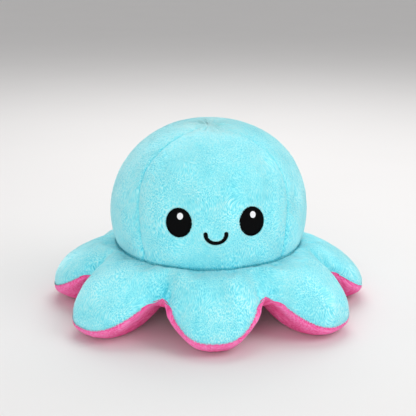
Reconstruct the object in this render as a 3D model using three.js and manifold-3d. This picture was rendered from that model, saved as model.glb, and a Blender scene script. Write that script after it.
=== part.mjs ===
// Plush octopus: a stuffed head over a round hollow, on a skirt of eight stuffed arms.
// Millimetres. +Z is up, the face looks along -Y and the origin is on the floor under the head.
// Right is +X. An azimuth is zero at the front and grows towards the right.
// A table of shares for the arms starts at the front arm and goes round by the right.
import * as THREE from 'three';
import { mergeVertices } from 'three/addons/utils/BufferGeometryUtils.js';
import Module from 'manifold-3d';

const wasm = await Module();
wasm.setup();

// Cloth
const cover = 2; // short-pile cloth, pressed by the filling
const clearance = 0.3; // between pieces that touch

// Head
const head_radius = 125.5;
const head_rise = 118.3; // from the widest part to the top, before the crown is drawn in
const head_centre = 119; // height of the widest part
const crease_height = 78; // the head is sewn to the arms here
const crown_dip = 10; // how far the crown seam is drawn in
const crown_spread = 28;
const crown_knot = 1.2; // the gores stop this short of the crown
const seam_dip = 2.5; // how far a gore seam is drawn in
const seam_spread = 9;

// Hollow under the head
const hollow_radius = 98;
const hem_height = 52; // the lining is sewn to the underside of the arms here
const hollow_waist = 90; // the lining closes in to a dome above this height
const hollow_top = 198;

// Along the middle of an arm
const arm_reach = 199.5; // front arm, from the centre to the side seam at its tip
const arm_seam = 18.5; // height of the side seam at the tip
const arm_shoulder = 62; // the top bulges towards this height before it drops to the tip
const arm_shoulder_inset = 1.5;
const sole_inset = 3.5;
const sole_drop = 11; // the underside is drawn towards this depth under the tip
const sole_belly = 18; // and towards this depth under the hem
const sole_cut = 0.5; // the sole is pressed flat this deep

// Along the fold between two arms
const fold_reach = 161;
const fold_seam = 54; // height of the side seam at the fold
const fold_shoulder = 64;
const fold_shoulder_inset = 4;
const fold_tuck = 6;
const fold_tuck_drop = 8;
const fold_belly = 40;

// Where the arms leave the head
const shoulder_run = 19;
const shoulder_lift = 9;
const back_slump = 18; // how much lower the shoulders sit behind

// Bending line of an arm
const hinge_reach = 151;
const hinge_height = 77.5;

// Embroidery
const stitch_height = 1.2;
const eye_width = 32;
const eye_height = 35;
const eye_level = 137.3;
const glint_width = 7.6;
const glint_height = 8.4;
const glint_aside = 1.4; // from the middle of the eye, towards the right on both eyes
const glint_above = 7.2;
const mouth_width = 24.4; // between the middles of the stroke's ends
const mouth_depth = 11;
const mouth_stroke = 4.6;
const mouth_level = 125.4; // height of the stroke's ends

// Angles, in degrees
const head_turn = 1.4; // the head sits turned a little on the arms
const crown_lean = 5; // the crown leans forward
const gore_bow = 12.5; // the front and back gores widen by this much on each side
const eye_spread = 20.2; // from the middle of the face to the middle of an eye
const eye_lean = 6; // the tops of the eyes lean apart
const slump_start = 75; // azimuths between which the shoulders drop to their height behind
const slump_end = 120;

// Shapes and counts
const arm_names = ['front', 'front_right', 'right', 'back_right', 'back', 'back_left', 'left', 'front_left'];
const arm_reach_share = [0.975, 1.04, 1.012, 1, 1, 1, 1.012, 1.045];
const arm_lean_share = [-0.03, 0.1, -0.12, 0, 0, 0, -0.12, -0.18];
const arm_seam_share = [1.04, 0.95, 1.05, 1, 1, 1, 1.2, 0.95];
const arm_shoulder_share = [1, 1, 0.8, 0.86, 0.88, 0.88, 0.97, 1];
const arm_round_share = 1.45; // higher makes the tips blunter and the folds narrower
const bow_high_share = 1.3; // higher moves the widest part of the bow up
const row_crowding_share = 1.25; // crowds the head's rows towards the crown
const gore_names = ['front', 'right', 'back', 'left'];
const gore_columns = 10;
const gore_rows = 9;
const lining_rows = 6;
const arm_columns = 8;
const skirt_rows = 6;
const pad_profile_shares = [[0, 0], [0.5, 0], [1, 0], [1, 0.5], [0.92, 1], [0.5, 1], [0, 1]];
const block_reach_share = 1.5; // the cutting blocks reach past the arms
const slope_step_share = 1 / 512; // for the slope of a surface
const eye_sides = 24;
const glint_sides = 12;
const curve_steps = 8;

// Worked out from the sizes above
const filling_depth = cover + clearance;
const half_gap = clearance / 2;
const arm_pitch = 2 * Math.PI / arm_names.length;
const gore_pitch = 2 * Math.PI / gore_names.length;
const crease_slope = Math.asin((crease_height - head_centre) / head_rise);
const crease_radius = head_radius * Math.cos(crease_slope);
const hollow_wall = hollow_waist - hem_height;
const hollow_dome = hollow_top - hollow_waist;
const hollow_length = hollow_wall + hollow_dome * Math.PI / 2;
const block_height = crease_height + shoulder_lift + clearance;
const turn = THREE.MathUtils.degToRad(head_turn);
const lean = THREE.MathUtils.degToRad(crown_lean);

// Finishes
const aqua_cloth = new THREE.MeshStandardMaterial({ color: 0x8fe9f6, roughness: 0.95, metalness: 0 });
const pink_cloth = new THREE.MeshStandardMaterial({ color: 0xf069a3, roughness: 0.95, metalness: 0 });
const filling = new THREE.MeshStandardMaterial({ color: 0xf4f2ee, roughness: 1, metalness: 0 });
const black_thread = new THREE.MeshStandardMaterial({ color: 0x101014, roughness: 0.7, metalness: 0 });
const white_thread = new THREE.MeshStandardMaterial({ color: 0xf7f7f7, roughness: 0.7, metalness: 0 });

// A point at a radius and height, swung round to an azimuth
function swing(azimuth, radius, height) {
  return new THREE.Vector3(radius * Math.sin(azimuth), -radius * Math.cos(azimuth), height);
}

// A closed mesh from points and triangles, turned to face out
function closedGeometry(points, triangles) {
  let volume = 0;
  for (const [a, b, c] of triangles) {
    volume += points[a].dot(points[b].clone().cross(points[c]));
  }
  const facing = volume > 0 ? triangles : triangles.map(([a, b, c]) => [a, c, b]);
  const geometry = new THREE.BufferGeometry().setFromPoints(points);
  geometry.setIndex(facing.flat());
  return geometry;
}

// Two triangles over each cell between neighbouring lines of points. The back of a sheet has
// its triangles turned over, with their diagonals as on the front
function coverCells(triangles, first, second, steps, back = false) {
  for (let step = 0; step < steps; step += 1) {
    const near = [first(step), second(step), second(step + 1)];
    const far = [first(step), second(step + 1), first(step + 1)];
    triangles.push(back ? near.reverse() : near, back ? far.reverse() : far);
  }
}

// A sheet with thickness: four-sided, from an outer and an inner surface over the unit square
function sheetGeometry(columns, rows, outer, inner) {
  const points = [];
  for (const surface of [outer, inner]) {
    for (let row = 0; row <= rows; row += 1) {
      for (let column = 0; column <= columns; column += 1) {
        points.push(surface(column / columns, row / rows));
      }
    }
  }
  const layer = (columns + 1) * (rows + 1);
  const outside = (column, row) => row * (columns + 1) + column;
  const inside = (column, row) => layer + outside(column, row);
  const triangles = [];
  for (let row = 0; row < rows; row += 1) {
    coverCells(triangles, (c) => outside(c, row), (c) => outside(c, row + 1), columns);
    coverCells(triangles, (c) => inside(c, row), (c) => inside(c, row + 1), columns, true);
  }
  coverCells(triangles, (c) => inside(c, 0), (c) => outside(c, 0), columns);
  coverCells(triangles, (c) => outside(c, rows), (c) => inside(c, rows), columns);
  coverCells(triangles, (r) => outside(0, r), (r) => inside(0, r), rows);
  coverCells(triangles, (r) => inside(columns, r), (r) => outside(columns, r), rows);
  return closedGeometry(points, triangles);
}

// A ring whose closed section changes as it goes round
function ringGeometry(sections) {
  const points = sections.flat();
  const sides = sections[0].length;
  const triangles = [];
  sections.forEach((section, index) => {
    const here = (side) => index * sides + side % sides;
    const next = (side) => ((index + 1) % sections.length) * sides + side % sides;
    coverCells(triangles, here, next, sides);
  });
  return closedGeometry(points, triangles);
}

// A sheet with thickness that closes round the ring, from an outer and an inner line a column
function ringSheetGeometry(columns) {
  const length = columns[0].outer.length;
  const points = columns.flatMap(({ outer, inner }) => [...outer, ...inner]);
  const outside = (column, row) => (column % columns.length) * 2 * length + row;
  const inside = (column, row) => outside(column, row) + length;
  const triangles = [];
  columns.forEach((lines, column) => {
    coverCells(triangles, (r) => outside(column, r), (r) => outside(column + 1, r), length - 1);
    coverCells(triangles, (r) => inside(column, r), (r) => inside(column + 1, r), length - 1, true);
  });
  coverCells(triangles, (c) => outside(c, 0), (c) => inside(c, 0), columns.length);
  coverCells(triangles, (c) => inside(c, length - 1), (c) => outside(c, length - 1), columns.length);
  return closedGeometry(points, triangles);
}

// A bell: each rib runs from the outer pole to the inner one, and all share both poles
function bellGeometry(outer_pole, inner_pole, ribs) {
  const points = [outer_pole, inner_pole, ...ribs.flat()];
  const length = ribs[0].length;
  const triangles = [];
  ribs.forEach((rib, index) => {
    const here = (step) => 2 + index * length + step;
    const next = (step) => 2 + ((index + 1) % ribs.length) * length + step;
    triangles.push([0, here(0), next(0)]);
    coverCells(triangles, next, here, length - 1);
    triangles.push([1, next(length - 1), here(length - 1)]);
  });
  return closedGeometry(points, triangles);
}

// A three.js geometry as a solid that can be cut
function solidOf(geometry) {
  const bare = geometry.clone();
  bare.deleteAttribute('normal');
  bare.deleteAttribute('uv');
  const merged = mergeVertices(bare);
  return new wasm.Manifold(new wasm.Mesh({
    numProp: 3,
    vertProperties: new Float32Array(merged.attributes.position.array),
    triVerts: new Uint32Array(merged.index.array),
  }));
}

function geometryOf(solid) {
  const mesh = solid.getMesh();
  const geometry = new THREE.BufferGeometry();
  geometry.setAttribute('position', new THREE.BufferAttribute(mesh.vertProperties, 3));
  geometry.setIndex(new THREE.BufferAttribute(mesh.triVerts, 1));
  return geometry;
}

function piece(name, geometry, material) {
  const mesh = new THREE.Mesh(geometry, material);
  mesh.name = name;
  return mesh;
}

// Directions on the head are those of a unit ball that is stretched to its radius and rise
const crown_direction = new THREE.Vector3(0, -Math.sin(lean), Math.cos(lean))
  .applyAxisAngle(new THREE.Vector3(0, 0, 1), turn);
const crown_point = stretched(crown_direction);

function stretched(direction) {
  return new THREE.Vector3(head_radius * direction.x, head_radius * direction.y,
    head_centre + head_rise * direction.z);
}

// The surface of the head, or a point at a depth under it
function headPoint(direction, depth, seam_distance = Infinity) {
  const point = stretched(direction);
  const crown_distance = point.distanceTo(crown_point);
  const drawn_in = crown_dip * Math.exp(-((crown_distance / crown_spread) ** 2))
    + seam_dip * Math.exp(-seam_distance / seam_spread);
  const outward = new THREE.Vector3(direction.x / head_radius, direction.y / head_radius,
    direction.z / head_rise).normalize();
  return point.addScaledVector(outward, -depth - drawn_in);
}

// The direction at a share of the way from the crease up to the crown
function climb(azimuth, share) {
  const start = swing(azimuth + turn, Math.cos(crease_slope), Math.sin(crease_slope));
  const angle = start.angleTo(crown_direction);
  return start.multiplyScalar(Math.sin((1 - share) * angle))
    .addScaledVector(crown_direction, Math.sin(share * angle)).divideScalar(Math.sin(angle));
}

// Seam number 0 is at the front right, and gore number 0 lies between seams -1 and 0. Seams bow
// away from the front and back gores
function seamAzimuth(seam, share) {
  const bow = THREE.MathUtils.degToRad(gore_bow) * Math.sin(Math.PI * share ** bow_high_share) ** 2;
  return gore_pitch * (seam + 0.5) + (seam % 2 === 0 ? bow : -bow);
}

// The width of a gore at a share of its height, and a point across and up it at a depth
function goreWidth(gore, share) {
  const left = stretched(climb(seamAzimuth(gore - 1, share), share));
  return left.distanceTo(stretched(climb(seamAzimuth(gore, share), share)));
}

function gorePoint(gore, across, share, depth, gap) {
  const width = goreWidth(gore, share);
  const inset = 0.5 + (across - 0.5) * (1 - gap / width);
  const azimuth = THREE.MathUtils.lerp(seamAzimuth(gore - 1, share), seamAzimuth(gore, share), inset);
  return headPoint(climb(azimuth, share), depth, Math.min(across, 1 - across) * width);
}

// Rows crowd towards the crown. A gore starts half a gap above the crease
function goreShare(row, lowest) {
  const crease_direction = swing(0, Math.cos(crease_slope), Math.sin(crease_slope));
  const length = head_radius * crown_direction.angleTo(crease_direction);
  const share = 1 - (1 - row) ** row_crowding_share;
  return lowest / length + share * (1 - (lowest + crown_knot) / length);
}

function headGore(gore) {
  const surface = (depth) => (across, row) => (
    gorePoint(gore, across, goreShare(row, half_gap), depth, clearance));
  return sheetGeometry(gore_columns, gore_rows, surface(0), surface(cover));
}

// The cavity's wall: straight from the hem to the waist, then an ellipse up to the top
function hollowPoint(azimuth, share, depth) {
  const along = share * hollow_length;
  if (along < hollow_wall) {
    return swing(azimuth, hollow_radius + depth, hem_height + along);
  }
  const angle = (along - hollow_wall) / hollow_dome;
  return swing(azimuth, (hollow_radius + depth) * Math.cos(angle),
    hollow_waist + (hollow_dome + depth) * Math.sin(angle));
}

// Runs from right to left, so that its diagonals lie along those of the filling
function liningGore(gore) {
  const surface = (depth) => (across, row) => {
    const share = (half_gap + row * (hollow_length - half_gap - crown_knot)) / hollow_length;
    const wall = hollowPoint(0, share, 0);
    const arc = gore_pitch * Math.hypot(wall.x, wall.y);
    const inset = (0.5 - across) * (1 - clearance / arc);
    return hollowPoint(gore_pitch * (gore + inset) + turn, share, depth);
  };
  return sheetGeometry(gore_columns, lining_rows, surface(0), surface(cover));
}

// The filling's corner under the crease, and the seat between the fillings of head and arms
function creaseCore(azimuth, side) {
  const crease = new THREE.Vector2(crease_radius, crease_height);
  const hem = new THREE.Vector2(hollow_radius + filling_depth, hem_height);
  const down = hem.clone().sub(crease).normalize();
  const core = crease.addScaledVector(down, filling_depth + clearance);
  return swing(azimuth, core.x + side * half_gap * down.y, core.y - side * half_gap * down.x);
}

function headStuffing() {
  const ribs = [];
  gore_names.forEach((name, gore) => {
    for (let column = 0; column < gore_columns; column += 1) {
      const across = column / gore_columns;
      const azimuth = gore_pitch * (gore + across - 0.5) + turn;
      const rib = [];
      for (let row = gore_rows - 1; row >= 0; row -= 1) {
        rib.push(gorePoint(gore, across, goreShare(row / gore_rows, 0), filling_depth, 0));
      }
      rib.push(creaseCore(azimuth, 1));
      for (let row = 0; row < lining_rows; row += 1) {
        const raised = row === 0 ? 2 * clearance / hollow_length : 0;
        rib.push(hollowPoint(azimuth, row / lining_rows + raised, filling_depth));
      }
      ribs.push(rib);
    }
  });
  return bellGeometry(headPoint(crown_direction, filling_depth, 0), hollowPoint(0, 1, filling_depth), ribs);
}

// How an azimuth lies on its arm: fullness is 1 along the middle and 0 at a fold
function onArm(azimuth) {
  const arm = ((Math.round(azimuth / arm_pitch) % arm_names.length) + arm_names.length) % arm_names.length;
  const aside = azimuth - Math.round(azimuth / arm_pitch) * arm_pitch - arm_lean_share[arm] * arm_pitch / 2;
  const side = aside < 0 ? 1 + arm_lean_share[arm] : 1 - arm_lean_share[arm];
  const share = Math.min(Math.abs(aside) / (side * arm_pitch / 2), 1);
  const fullness = Math.cos(Math.PI / 2 * share ** arm_round_share) ** 2;
  return {
    fullness,
    reach: arm_reach * arm_reach_share[arm],
    seam: arm_seam * arm_seam_share[arm],
    shoulder: arm_shoulder * arm_shoulder_share[arm],
  };
}

// How far the shoulders drop at an azimuth
function slumpAt(azimuth) {
  const behind = THREE.MathUtils.radToDeg(Math.acos(Math.cos(azimuth)));
  return back_slump * THREE.MathUtils.smoothstep(behind, slump_start, slump_end);
}

function armAzimuth(arm, share) {
  const side = share < 0 ? 1 + arm_lean_share[arm] : 1 - arm_lean_share[arm];
  return arm_pitch * (arm + arm_lean_share[arm] / 2 + share * side / 2);
}

// Top of the arms, from the crease out to the side seam
function topPoint(azimuth, share) {
  const { fullness, reach, seam, shoulder } = onArm(azimuth);
  const slump = slumpAt(azimuth);
  const curve = new THREE.CubicBezierCurve(
    new THREE.Vector2(crease_radius, crease_height),
    new THREE.Vector2(crease_radius + shoulder_run, crease_height + shoulder_lift - slump),
    new THREE.Vector2(fold_reach - fold_shoulder_inset, fold_shoulder - slump)
      .lerp(new THREE.Vector2(reach - arm_shoulder_inset, shoulder), fullness),
    new THREE.Vector2(fold_reach, fold_seam - slump).lerp(new THREE.Vector2(reach, seam), fullness),
  );
  const point = curve.getPoint(share);
  return swing(azimuth, point.x, point.y);
}

// Underside of the arms, from the side seam in to the hem
function underPoint(azimuth, share) {
  const { fullness, reach, seam } = onArm(azimuth);
  const slump = slumpAt(azimuth);
  const curve = new THREE.CubicBezierCurve(
    new THREE.Vector2(fold_reach, fold_seam - slump).lerp(new THREE.Vector2(reach, seam), fullness),
    new THREE.Vector2(fold_reach - fold_tuck, fold_seam - slump - fold_tuck_drop)
      .lerp(new THREE.Vector2(reach - sole_inset, -sole_drop), fullness),
    new THREE.Vector2(hollow_radius, THREE.MathUtils.lerp(fold_belly, -sole_belly, fullness)),
    new THREE.Vector2(hollow_radius, hem_height),
  );
  const point = curve.getPoint(share);
  return swing(azimuth, point.x, Math.max(point.y, -sole_cut));
}

// Directions on a skirt surface: along the ring, along the cloth towards its end, and inward
function skirtAxes(surface, azimuth, share) {
  const turned = arm_pitch * slope_step_share;
  const round = surface(azimuth + turned, share).sub(surface(azimuth - turned, share)).normalize();
  const before = Math.max(share - slope_step_share, 0);
  const after = Math.min(share + slope_step_share, 1);
  const onward = surface(azimuth, after).sub(surface(azimuth, before)).normalize();
  return { round, onward, inward: round.clone().cross(onward).normalize() };
}

// The side seam: a mitre between the two covers, with the upper edge at side 1, the lower at -1
function seamPoint(azimuth, depth, side) {
  const upper = skirtAxes(topPoint, azimuth, 1);
  const lower = skirtAxes(underPoint, azimuth, 0);
  const inward = upper.inward.clone().add(lower.inward).normalize();
  const up = upper.round.clone().cross(inward).normalize();
  return topPoint(azimuth, 1).addScaledVector(inward, depth / inward.dot(upper.inward))
    .addScaledVector(up, side * half_gap);
}

// One line of points along a skirt surface at a depth, without its seam end
function skirtLine(surface, azimuth, depth, first, last) {
  const line = [];
  for (let row = first; row <= last; row += 1) {
    const share = row / skirt_rows;
    const { onward, inward } = skirtAxes(surface, azimuth, share);
    const point = surface(azimuth, share).addScaledVector(inward, depth);
    if (row === 0) point.addScaledVector(onward, half_gap);
    if (row === skirt_rows) point.addScaledVector(onward, -half_gap);
    line.push(point);
  }
  return line;
}

function topLines(azimuth) {
  const line = (depth) => [
    ...skirtLine(topPoint, azimuth, depth, 0, skirt_rows - 1),
    seamPoint(azimuth, depth, 1),
  ];
  return { outer: line(0), inner: line(cover) };
}

function underLines(azimuth) {
  const line = (depth) => [
    seamPoint(azimuth, depth, -1),
    ...skirtLine(underPoint, azimuth, depth, 1, skirt_rows),
  ];
  return { outer: line(0), inner: line(cover) };
}

function stuffingSection(azimuth) {
  return [
    ...skirtLine(topPoint, azimuth, filling_depth, 0, skirt_rows - 1),
    seamPoint(azimuth, filling_depth, 0),
    ...skirtLine(underPoint, azimuth, filling_depth, 1, skirt_rows),
    creaseCore(azimuth, -1),
  ];
}

// Something at each column all round the skirt, a column at each fold and arm middle among them
function roundSkirt(make) {
  return arm_names.flatMap((name, arm) => (
    Array.from({ length: arm_columns }, (_, column) => make(armAzimuth(arm, 2 * column / arm_columns - 1)))));
}

// Each skirt layer is made whole and then cut into the ring under the head and eight arms.
// The block that holds the ring, with a flat for each arm, and the block that holds one arm.
// Both stand on the floor, so they also cut the soles flat
function ringBlock() {
  const flat = hinge_reach - half_gap;
  const corner = flat / Math.cos(arm_pitch / 2);
  const block = new THREE.CylinderGeometry(corner, corner, block_height, arm_names.length);
  block.rotateX(Math.PI / 2).rotateZ(arm_pitch / 2).translate(0, 0, block_height / 2);
  return solidOf(block);
}

function armBlock(arm) {
  const near = hinge_reach + half_gap;
  const far = arm_reach * block_reach_share;
  const spread = Math.tan(arm_pitch / 2);
  const outline = new THREE.Shape([
    new THREE.Vector2(near, -near * spread), new THREE.Vector2(far, -near * spread),
    new THREE.Vector2(far, near * spread), new THREE.Vector2(near, near * spread),
  ]);
  const block = new THREE.ExtrudeGeometry(outline, { depth: block_height, bevelEnabled: false });
  return solidOf(block.rotateZ(arm * arm_pitch - Math.PI / 2));
}

// A flat shape laid on the head and raised: x across, y up, z from the cloth outwards
function wrapOnHead(geometry, azimuth, height, roll, lift) {
  const level = Math.asin((height - head_centre) / head_rise);
  const centre = swing(azimuth + turn, Math.cos(level), Math.sin(level));
  const across = swing(azimuth + turn + Math.PI / 2, 1, 0);
  const up = centre.clone().cross(across).normalize();
  const position = geometry.attributes.position;
  for (let index = 0; index < position.count; index += 1) {
    const flat = new THREE.Vector3().fromBufferAttribute(position, index);
    const height_above = flat.z;
    flat.setZ(0).applyAxisAngle(new THREE.Vector3(0, 0, 1), roll);
    const direction = centre.clone().addScaledVector(across, flat.x / head_radius)
      .addScaledVector(up, flat.y / head_rise).normalize();
    const point = headPoint(direction, -lift - height_above);
    position.setXYZ(index, point.x, point.y, point.z);
  }
  return geometryOf(solidOf(geometry));
}

// An oval pad of thread, domed at its rim
function ovalPad(width, height, sides) {
  const profile = pad_profile_shares.map(([radius, rise]) => new THREE.Vector2(radius, rise));
  const pad = new THREE.LatheGeometry(profile, sides).rotateX(Math.PI / 2);
  return pad.scale(width / 2, height / 2, stitch_height);
}

function mouthStroke() {
  const half = mouth_width / 2;
  const outer = mouth_stroke / 2;
  const stroke = new THREE.Shape();
  stroke.absellipse(0, 0, half + outer, mouth_depth + outer, Math.PI, 2 * Math.PI, false);
  stroke.absarc(half, 0, outer, 0, Math.PI, false);
  stroke.absellipse(0, 0, half - outer, mouth_depth - outer, 2 * Math.PI, Math.PI, true);
  stroke.absarc(-half, 0, outer, 0, Math.PI, false);
  return new THREE.ExtrudeGeometry(stroke, {
    depth: stitch_height, bevelEnabled: false, curveSegments: curve_steps,
  });
}

function headPieces() {
  const pieces = gore_names.map((name, gore) => piece(`head_gore_${name}`, headGore(gore), aqua_cloth));
  gore_names.forEach((name, gore) => {
    pieces.push(piece(`lining_gore_${name}`, liningGore(gore), pink_cloth));
  });
  pieces.push(piece('head_stuffing', headStuffing(), filling));
  return pieces;
}

function facePieces() {
  const pieces = [];
  for (const [name, side] of [['left', -1], ['right', 1]]) {
    const azimuth = side * THREE.MathUtils.degToRad(eye_spread);
    const roll = -side * THREE.MathUtils.degToRad(eye_lean);
    const eye = wrapOnHead(ovalPad(eye_width, eye_height, eye_sides), azimuth, eye_level, roll, clearance);
    pieces.push(piece(`eye_${name}`, eye, black_thread));
    const glint = ovalPad(glint_width, glint_height, glint_sides).translate(glint_aside, glint_above, 0);
    const lift = stitch_height + 2 * clearance;
    pieces.push(piece(`glint_${name}`, wrapOnHead(glint, azimuth, eye_level, 0, lift), white_thread));
  }
  const mouth = wrapOnHead(mouthStroke(), 0, mouth_level, 0, clearance);
  pieces.push(piece('mouth', mouth, black_thread));
  return pieces;
}

function skirtPieces() {
  const layers = [
    ['top', aqua_cloth, solidOf(ringSheetGeometry(roundSkirt(topLines)))],
    ['underside', pink_cloth, solidOf(ringSheetGeometry(roundSkirt(underLines)))],
    ['stuffing', filling, solidOf(ringGeometry(roundSkirt(stuffingSection)))],
  ];
  const ring = ringBlock();
  const pieces = layers.map(([layer, material, whole]) => (
    piece(`skirt_${layer}`, geometryOf(whole.intersect(ring)), material)));
  arm_names.forEach((name, arm) => {
    const block = armBlock(arm);
    const hinge = swing(arm * arm_pitch, hinge_reach, hinge_height);
    const group = new THREE.Group();
    group.position.copy(hinge);
    for (const [layer, material, whole] of layers) {
      const geometry = geometryOf(whole.intersect(block)).translate(-hinge.x, -hinge.y, -hinge.z);
      group.add(piece(`arm_${name}_${layer}`, geometry, material));
    }
    pieces.push(group);
  });
  return pieces;
}

const octopus = new THREE.Group();
octopus.add(...headPieces(), ...facePieces(), ...skirtPieces());

export default octopus;
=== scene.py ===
"""Looks of a plush octopus: a round head of four gores on a skirt of eight stuffed arms.

Metres, +Z up. The face looks along -Y and +X is the right. An azimuth is zero at the front and grows
towards the right. A table of shares for the arms starts at the front arm and goes round by the right.
"""

import logging
import math
from dataclasses import dataclass, replace
from enum import Enum

import bpy
import numpy as np
from mathutils import Matrix, Vector


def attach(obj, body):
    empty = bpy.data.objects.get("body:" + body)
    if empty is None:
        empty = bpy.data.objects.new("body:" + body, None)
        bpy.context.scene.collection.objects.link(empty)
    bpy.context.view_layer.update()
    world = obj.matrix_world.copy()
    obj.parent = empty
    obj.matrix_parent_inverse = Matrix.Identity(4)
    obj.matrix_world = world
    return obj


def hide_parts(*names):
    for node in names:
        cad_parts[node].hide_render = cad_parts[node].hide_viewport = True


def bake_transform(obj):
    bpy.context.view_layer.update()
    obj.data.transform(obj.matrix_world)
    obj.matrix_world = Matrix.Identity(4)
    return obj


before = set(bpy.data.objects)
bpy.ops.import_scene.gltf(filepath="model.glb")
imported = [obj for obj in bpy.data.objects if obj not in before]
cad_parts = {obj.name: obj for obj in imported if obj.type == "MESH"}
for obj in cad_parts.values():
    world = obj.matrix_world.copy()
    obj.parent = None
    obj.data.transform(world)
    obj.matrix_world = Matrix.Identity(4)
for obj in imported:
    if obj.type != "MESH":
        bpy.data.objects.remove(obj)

Array = np.ndarray
Piece = bpy.types.Object
Socket = bpy.types.NodeSocket
Colour = tuple[float, float, float]
Place = tuple[float, float, float]
Band = tuple[float, float]
Pairs = tuple[tuple[float, float], ...]

LOG = logging.getLogger("plush_octopus")
BODY = "octopus_body"
ARM_NAMES = ("front", "front_right", "right", "back_right", "back", "back_left", "left", "front_left")
GORE_NAMES = ("front", "right", "back", "left")
PAPER: Colour = (0.80, 0.785, 0.78)
FLOOR_GAP = 0.0002
LEVEL = np.array([1, 1, 0])
UP = np.array([0, 0, 1.0])


class Side(Enum):
    """Which side of the face a piece is on, as the sign of its azimuth."""

    LEFT = -1
    RIGHT = 1


class Slot(Enum):
    """The record's material slots."""

    AQUA = "aqua_plush"
    PINK = "pink_plush"
    BLACK = "black_thread"
    WHITE = "white_thread"


Cloths = dict[Slot, bpy.types.Material]


def swing(azimuth: Array | float, radius: Array | float, height: Array | float) -> Array:
    """Swings points at a radius and height round to an azimuth.

    Args:
        azimuth: Angles from the front towards the right, in radians.
        radius: Distances from the upright axis.
        height: Heights above the floor.

    Returns:
        The points, with x, y and z along the last axis.
    """
    return np.stack(np.broadcast_arrays(radius * np.sin(azimuth), -radius * np.cos(azimuth), height), -1)


def azimuth_of(points: Array) -> Array:
    """Azimuths of points."""
    return np.arctan2(points[..., 0], -points[..., 1])


def unit(vectors: Array) -> Array:
    """Gives vectors a length of one along their last axis."""
    return vectors / np.maximum(np.linalg.norm(vectors, axis=-1, keepdims=True), 1e-12)


def smoothstep(value: Array, low: float, high: float) -> Array:
    """Goes smoothly from 0 at low to 1 at high."""
    share = np.clip((value - low) / (high - low), 0, 1)
    return share * share * (3 - 2 * share)


def bell(value: Array, width: float, middle: float = 0) -> Array:
    """Is 1 in the middle and falls off on both sides over a width."""
    return np.exp(-((value - middle) / width) ** 2)


def faded(value: Array, weight: float, length: float) -> Array:
    """Starts from a weight at zero and fades over a length."""
    return weight * np.exp(-value / length)


def ellipse(angle: Array, wide: float = 1, high: float = 1) -> Array:
    """Flat points of an ellipse at angles, from half its width and height."""
    return np.stack([np.cos(angle) * wide, np.sin(angle) * high], -1)


def oval_share(flat: Array, width: float, height: float) -> Array:
    """How far out flat points lie in an oval, from 0 in its middle to 1 at its edge."""
    return np.hypot(flat[..., 0] / (width / 2), flat[..., 1] / (height / 2))


def tufts(points: Array, size: float, seed: int) -> Array:
    """Smooth noise from a hashed lattice, the same in every run.

    Args:
        points: Places in space, with x, y and z along the last axis.
        size: Width of a lattice cell, which is about that of a tuft.
        seed: Number of the pattern.

    Returns:
        A value from -1 to 1 for each point.
    """
    scaled = points / size
    cell = np.floor(scaled).astype(np.int64)
    part = scaled - cell
    part = part * part * (3 - 2 * part)
    total = np.zeros(points.shape[:-1])
    for corner in np.ndindex(2, 2, 2):
        key = (cell + corner) @ np.array([73856093, 19349663, 83492791]) + seed * 7919
        key = (key ^ (key >> 13)) * 1274126177
        key = (key ^ (key >> 16)) & 0xFFFF
        weight = np.prod(np.where(np.array(corner) == 1, part, 1 - part), axis=-1)
        total += weight * (key / 32767.5 - 1)
    return total


def grid_normals(points: Array) -> Array:
    """Unit normals of a grid of points, out of the side that has rows up and columns to the right."""
    return unit(np.cross(np.gradient(points, axis=1), np.gradient(points, axis=0)))


def run_length(points: Array, axis: int) -> Array:
    """Distance run along an axis of a grid of points from its first line."""
    steps = np.linalg.norm(np.diff(points, axis=axis), axis=-1)
    start = np.zeros_like(np.take(steps, [0], axis=axis))
    return np.concatenate([start, np.cumsum(steps, axis=axis)], axis=axis)


def resampled(values: Array, places: Array, ring: bool = False) -> Array:
    """Reads lines of points at places between them, along a smooth curve.

    Args:
        values: The lines, rows by columns by three.
        places: The row numbers to read at, whole or not.
        ring: Whether the first row follows the last.

    Returns:
        A row for each place.
    """
    before = np.floor(places).astype(int)
    share = (places - before)[:, None, None]
    square, cube = share ** 2, share ** 3
    weights = (-share / 2 + square - cube / 2, 1 - 2.5 * square + 1.5 * cube,
               share / 2 + 2 * square - 1.5 * cube, (cube - square) / 2)
    total = np.zeros((len(places), *values.shape[1:]))
    for offset, weight in enumerate(weights):
        rows = before + offset - 1
        total += weight * values[rows % len(values) if ring else np.clip(rows, 0, len(values) - 1)]
    return total


def densified(values: Array, rows: Array, columns: Array, ring: bool = False) -> Array:
    """Reads a coarse grid at rows and columns between its own, which may close to a ring."""
    return resampled(resampled(values, rows).swapaxes(0, 1), columns, ring).swapaxes(0, 1)


def along_line(line: Array, step: float, seed: int) -> tuple[Array, Array]:
    """Picks places along a line of points, about a step apart.

    Args:
        line: The points.
        step: Distance from one place to the next.
        seed: Number of the pattern.

    Returns:
        For each place, the number of the point before it and the share of the way to the next.
    """
    run = run_length(line, 0)
    count = max(int(run[-1] / step), 2)
    chance = np.random.default_rng(seed)
    places = (np.arange(count) + chance.uniform(0.1, 0.9, count)) / count * (len(line) - 1)
    even = np.interp(places / (len(line) - 1) * run[-1], run, np.arange(len(line)))
    before = np.minimum(even.astype(int), len(line) - 2)
    return before, even - before


def between(rows: Array, picked: tuple[Array, Array]) -> Array:
    """Values of a line of points at picked places."""
    before, share = picked
    return rows[before] * (1 - share[:, None]) + rows[before + 1] * share[:, None]


def numbered(grid: Array) -> Array:
    """Numbers of a grid's points, rows by columns."""
    return np.arange(grid[..., 0].size).reshape(grid.shape[:2])


def cells(numbers: Array) -> Array:
    """Faces between the points of a grid, from their numbers."""
    return np.stack([numbers[:-1, :-1], numbers[:-1, 1:], numbers[1:, 1:], numbers[1:, :-1]], -1).reshape(-1, 4)


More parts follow.
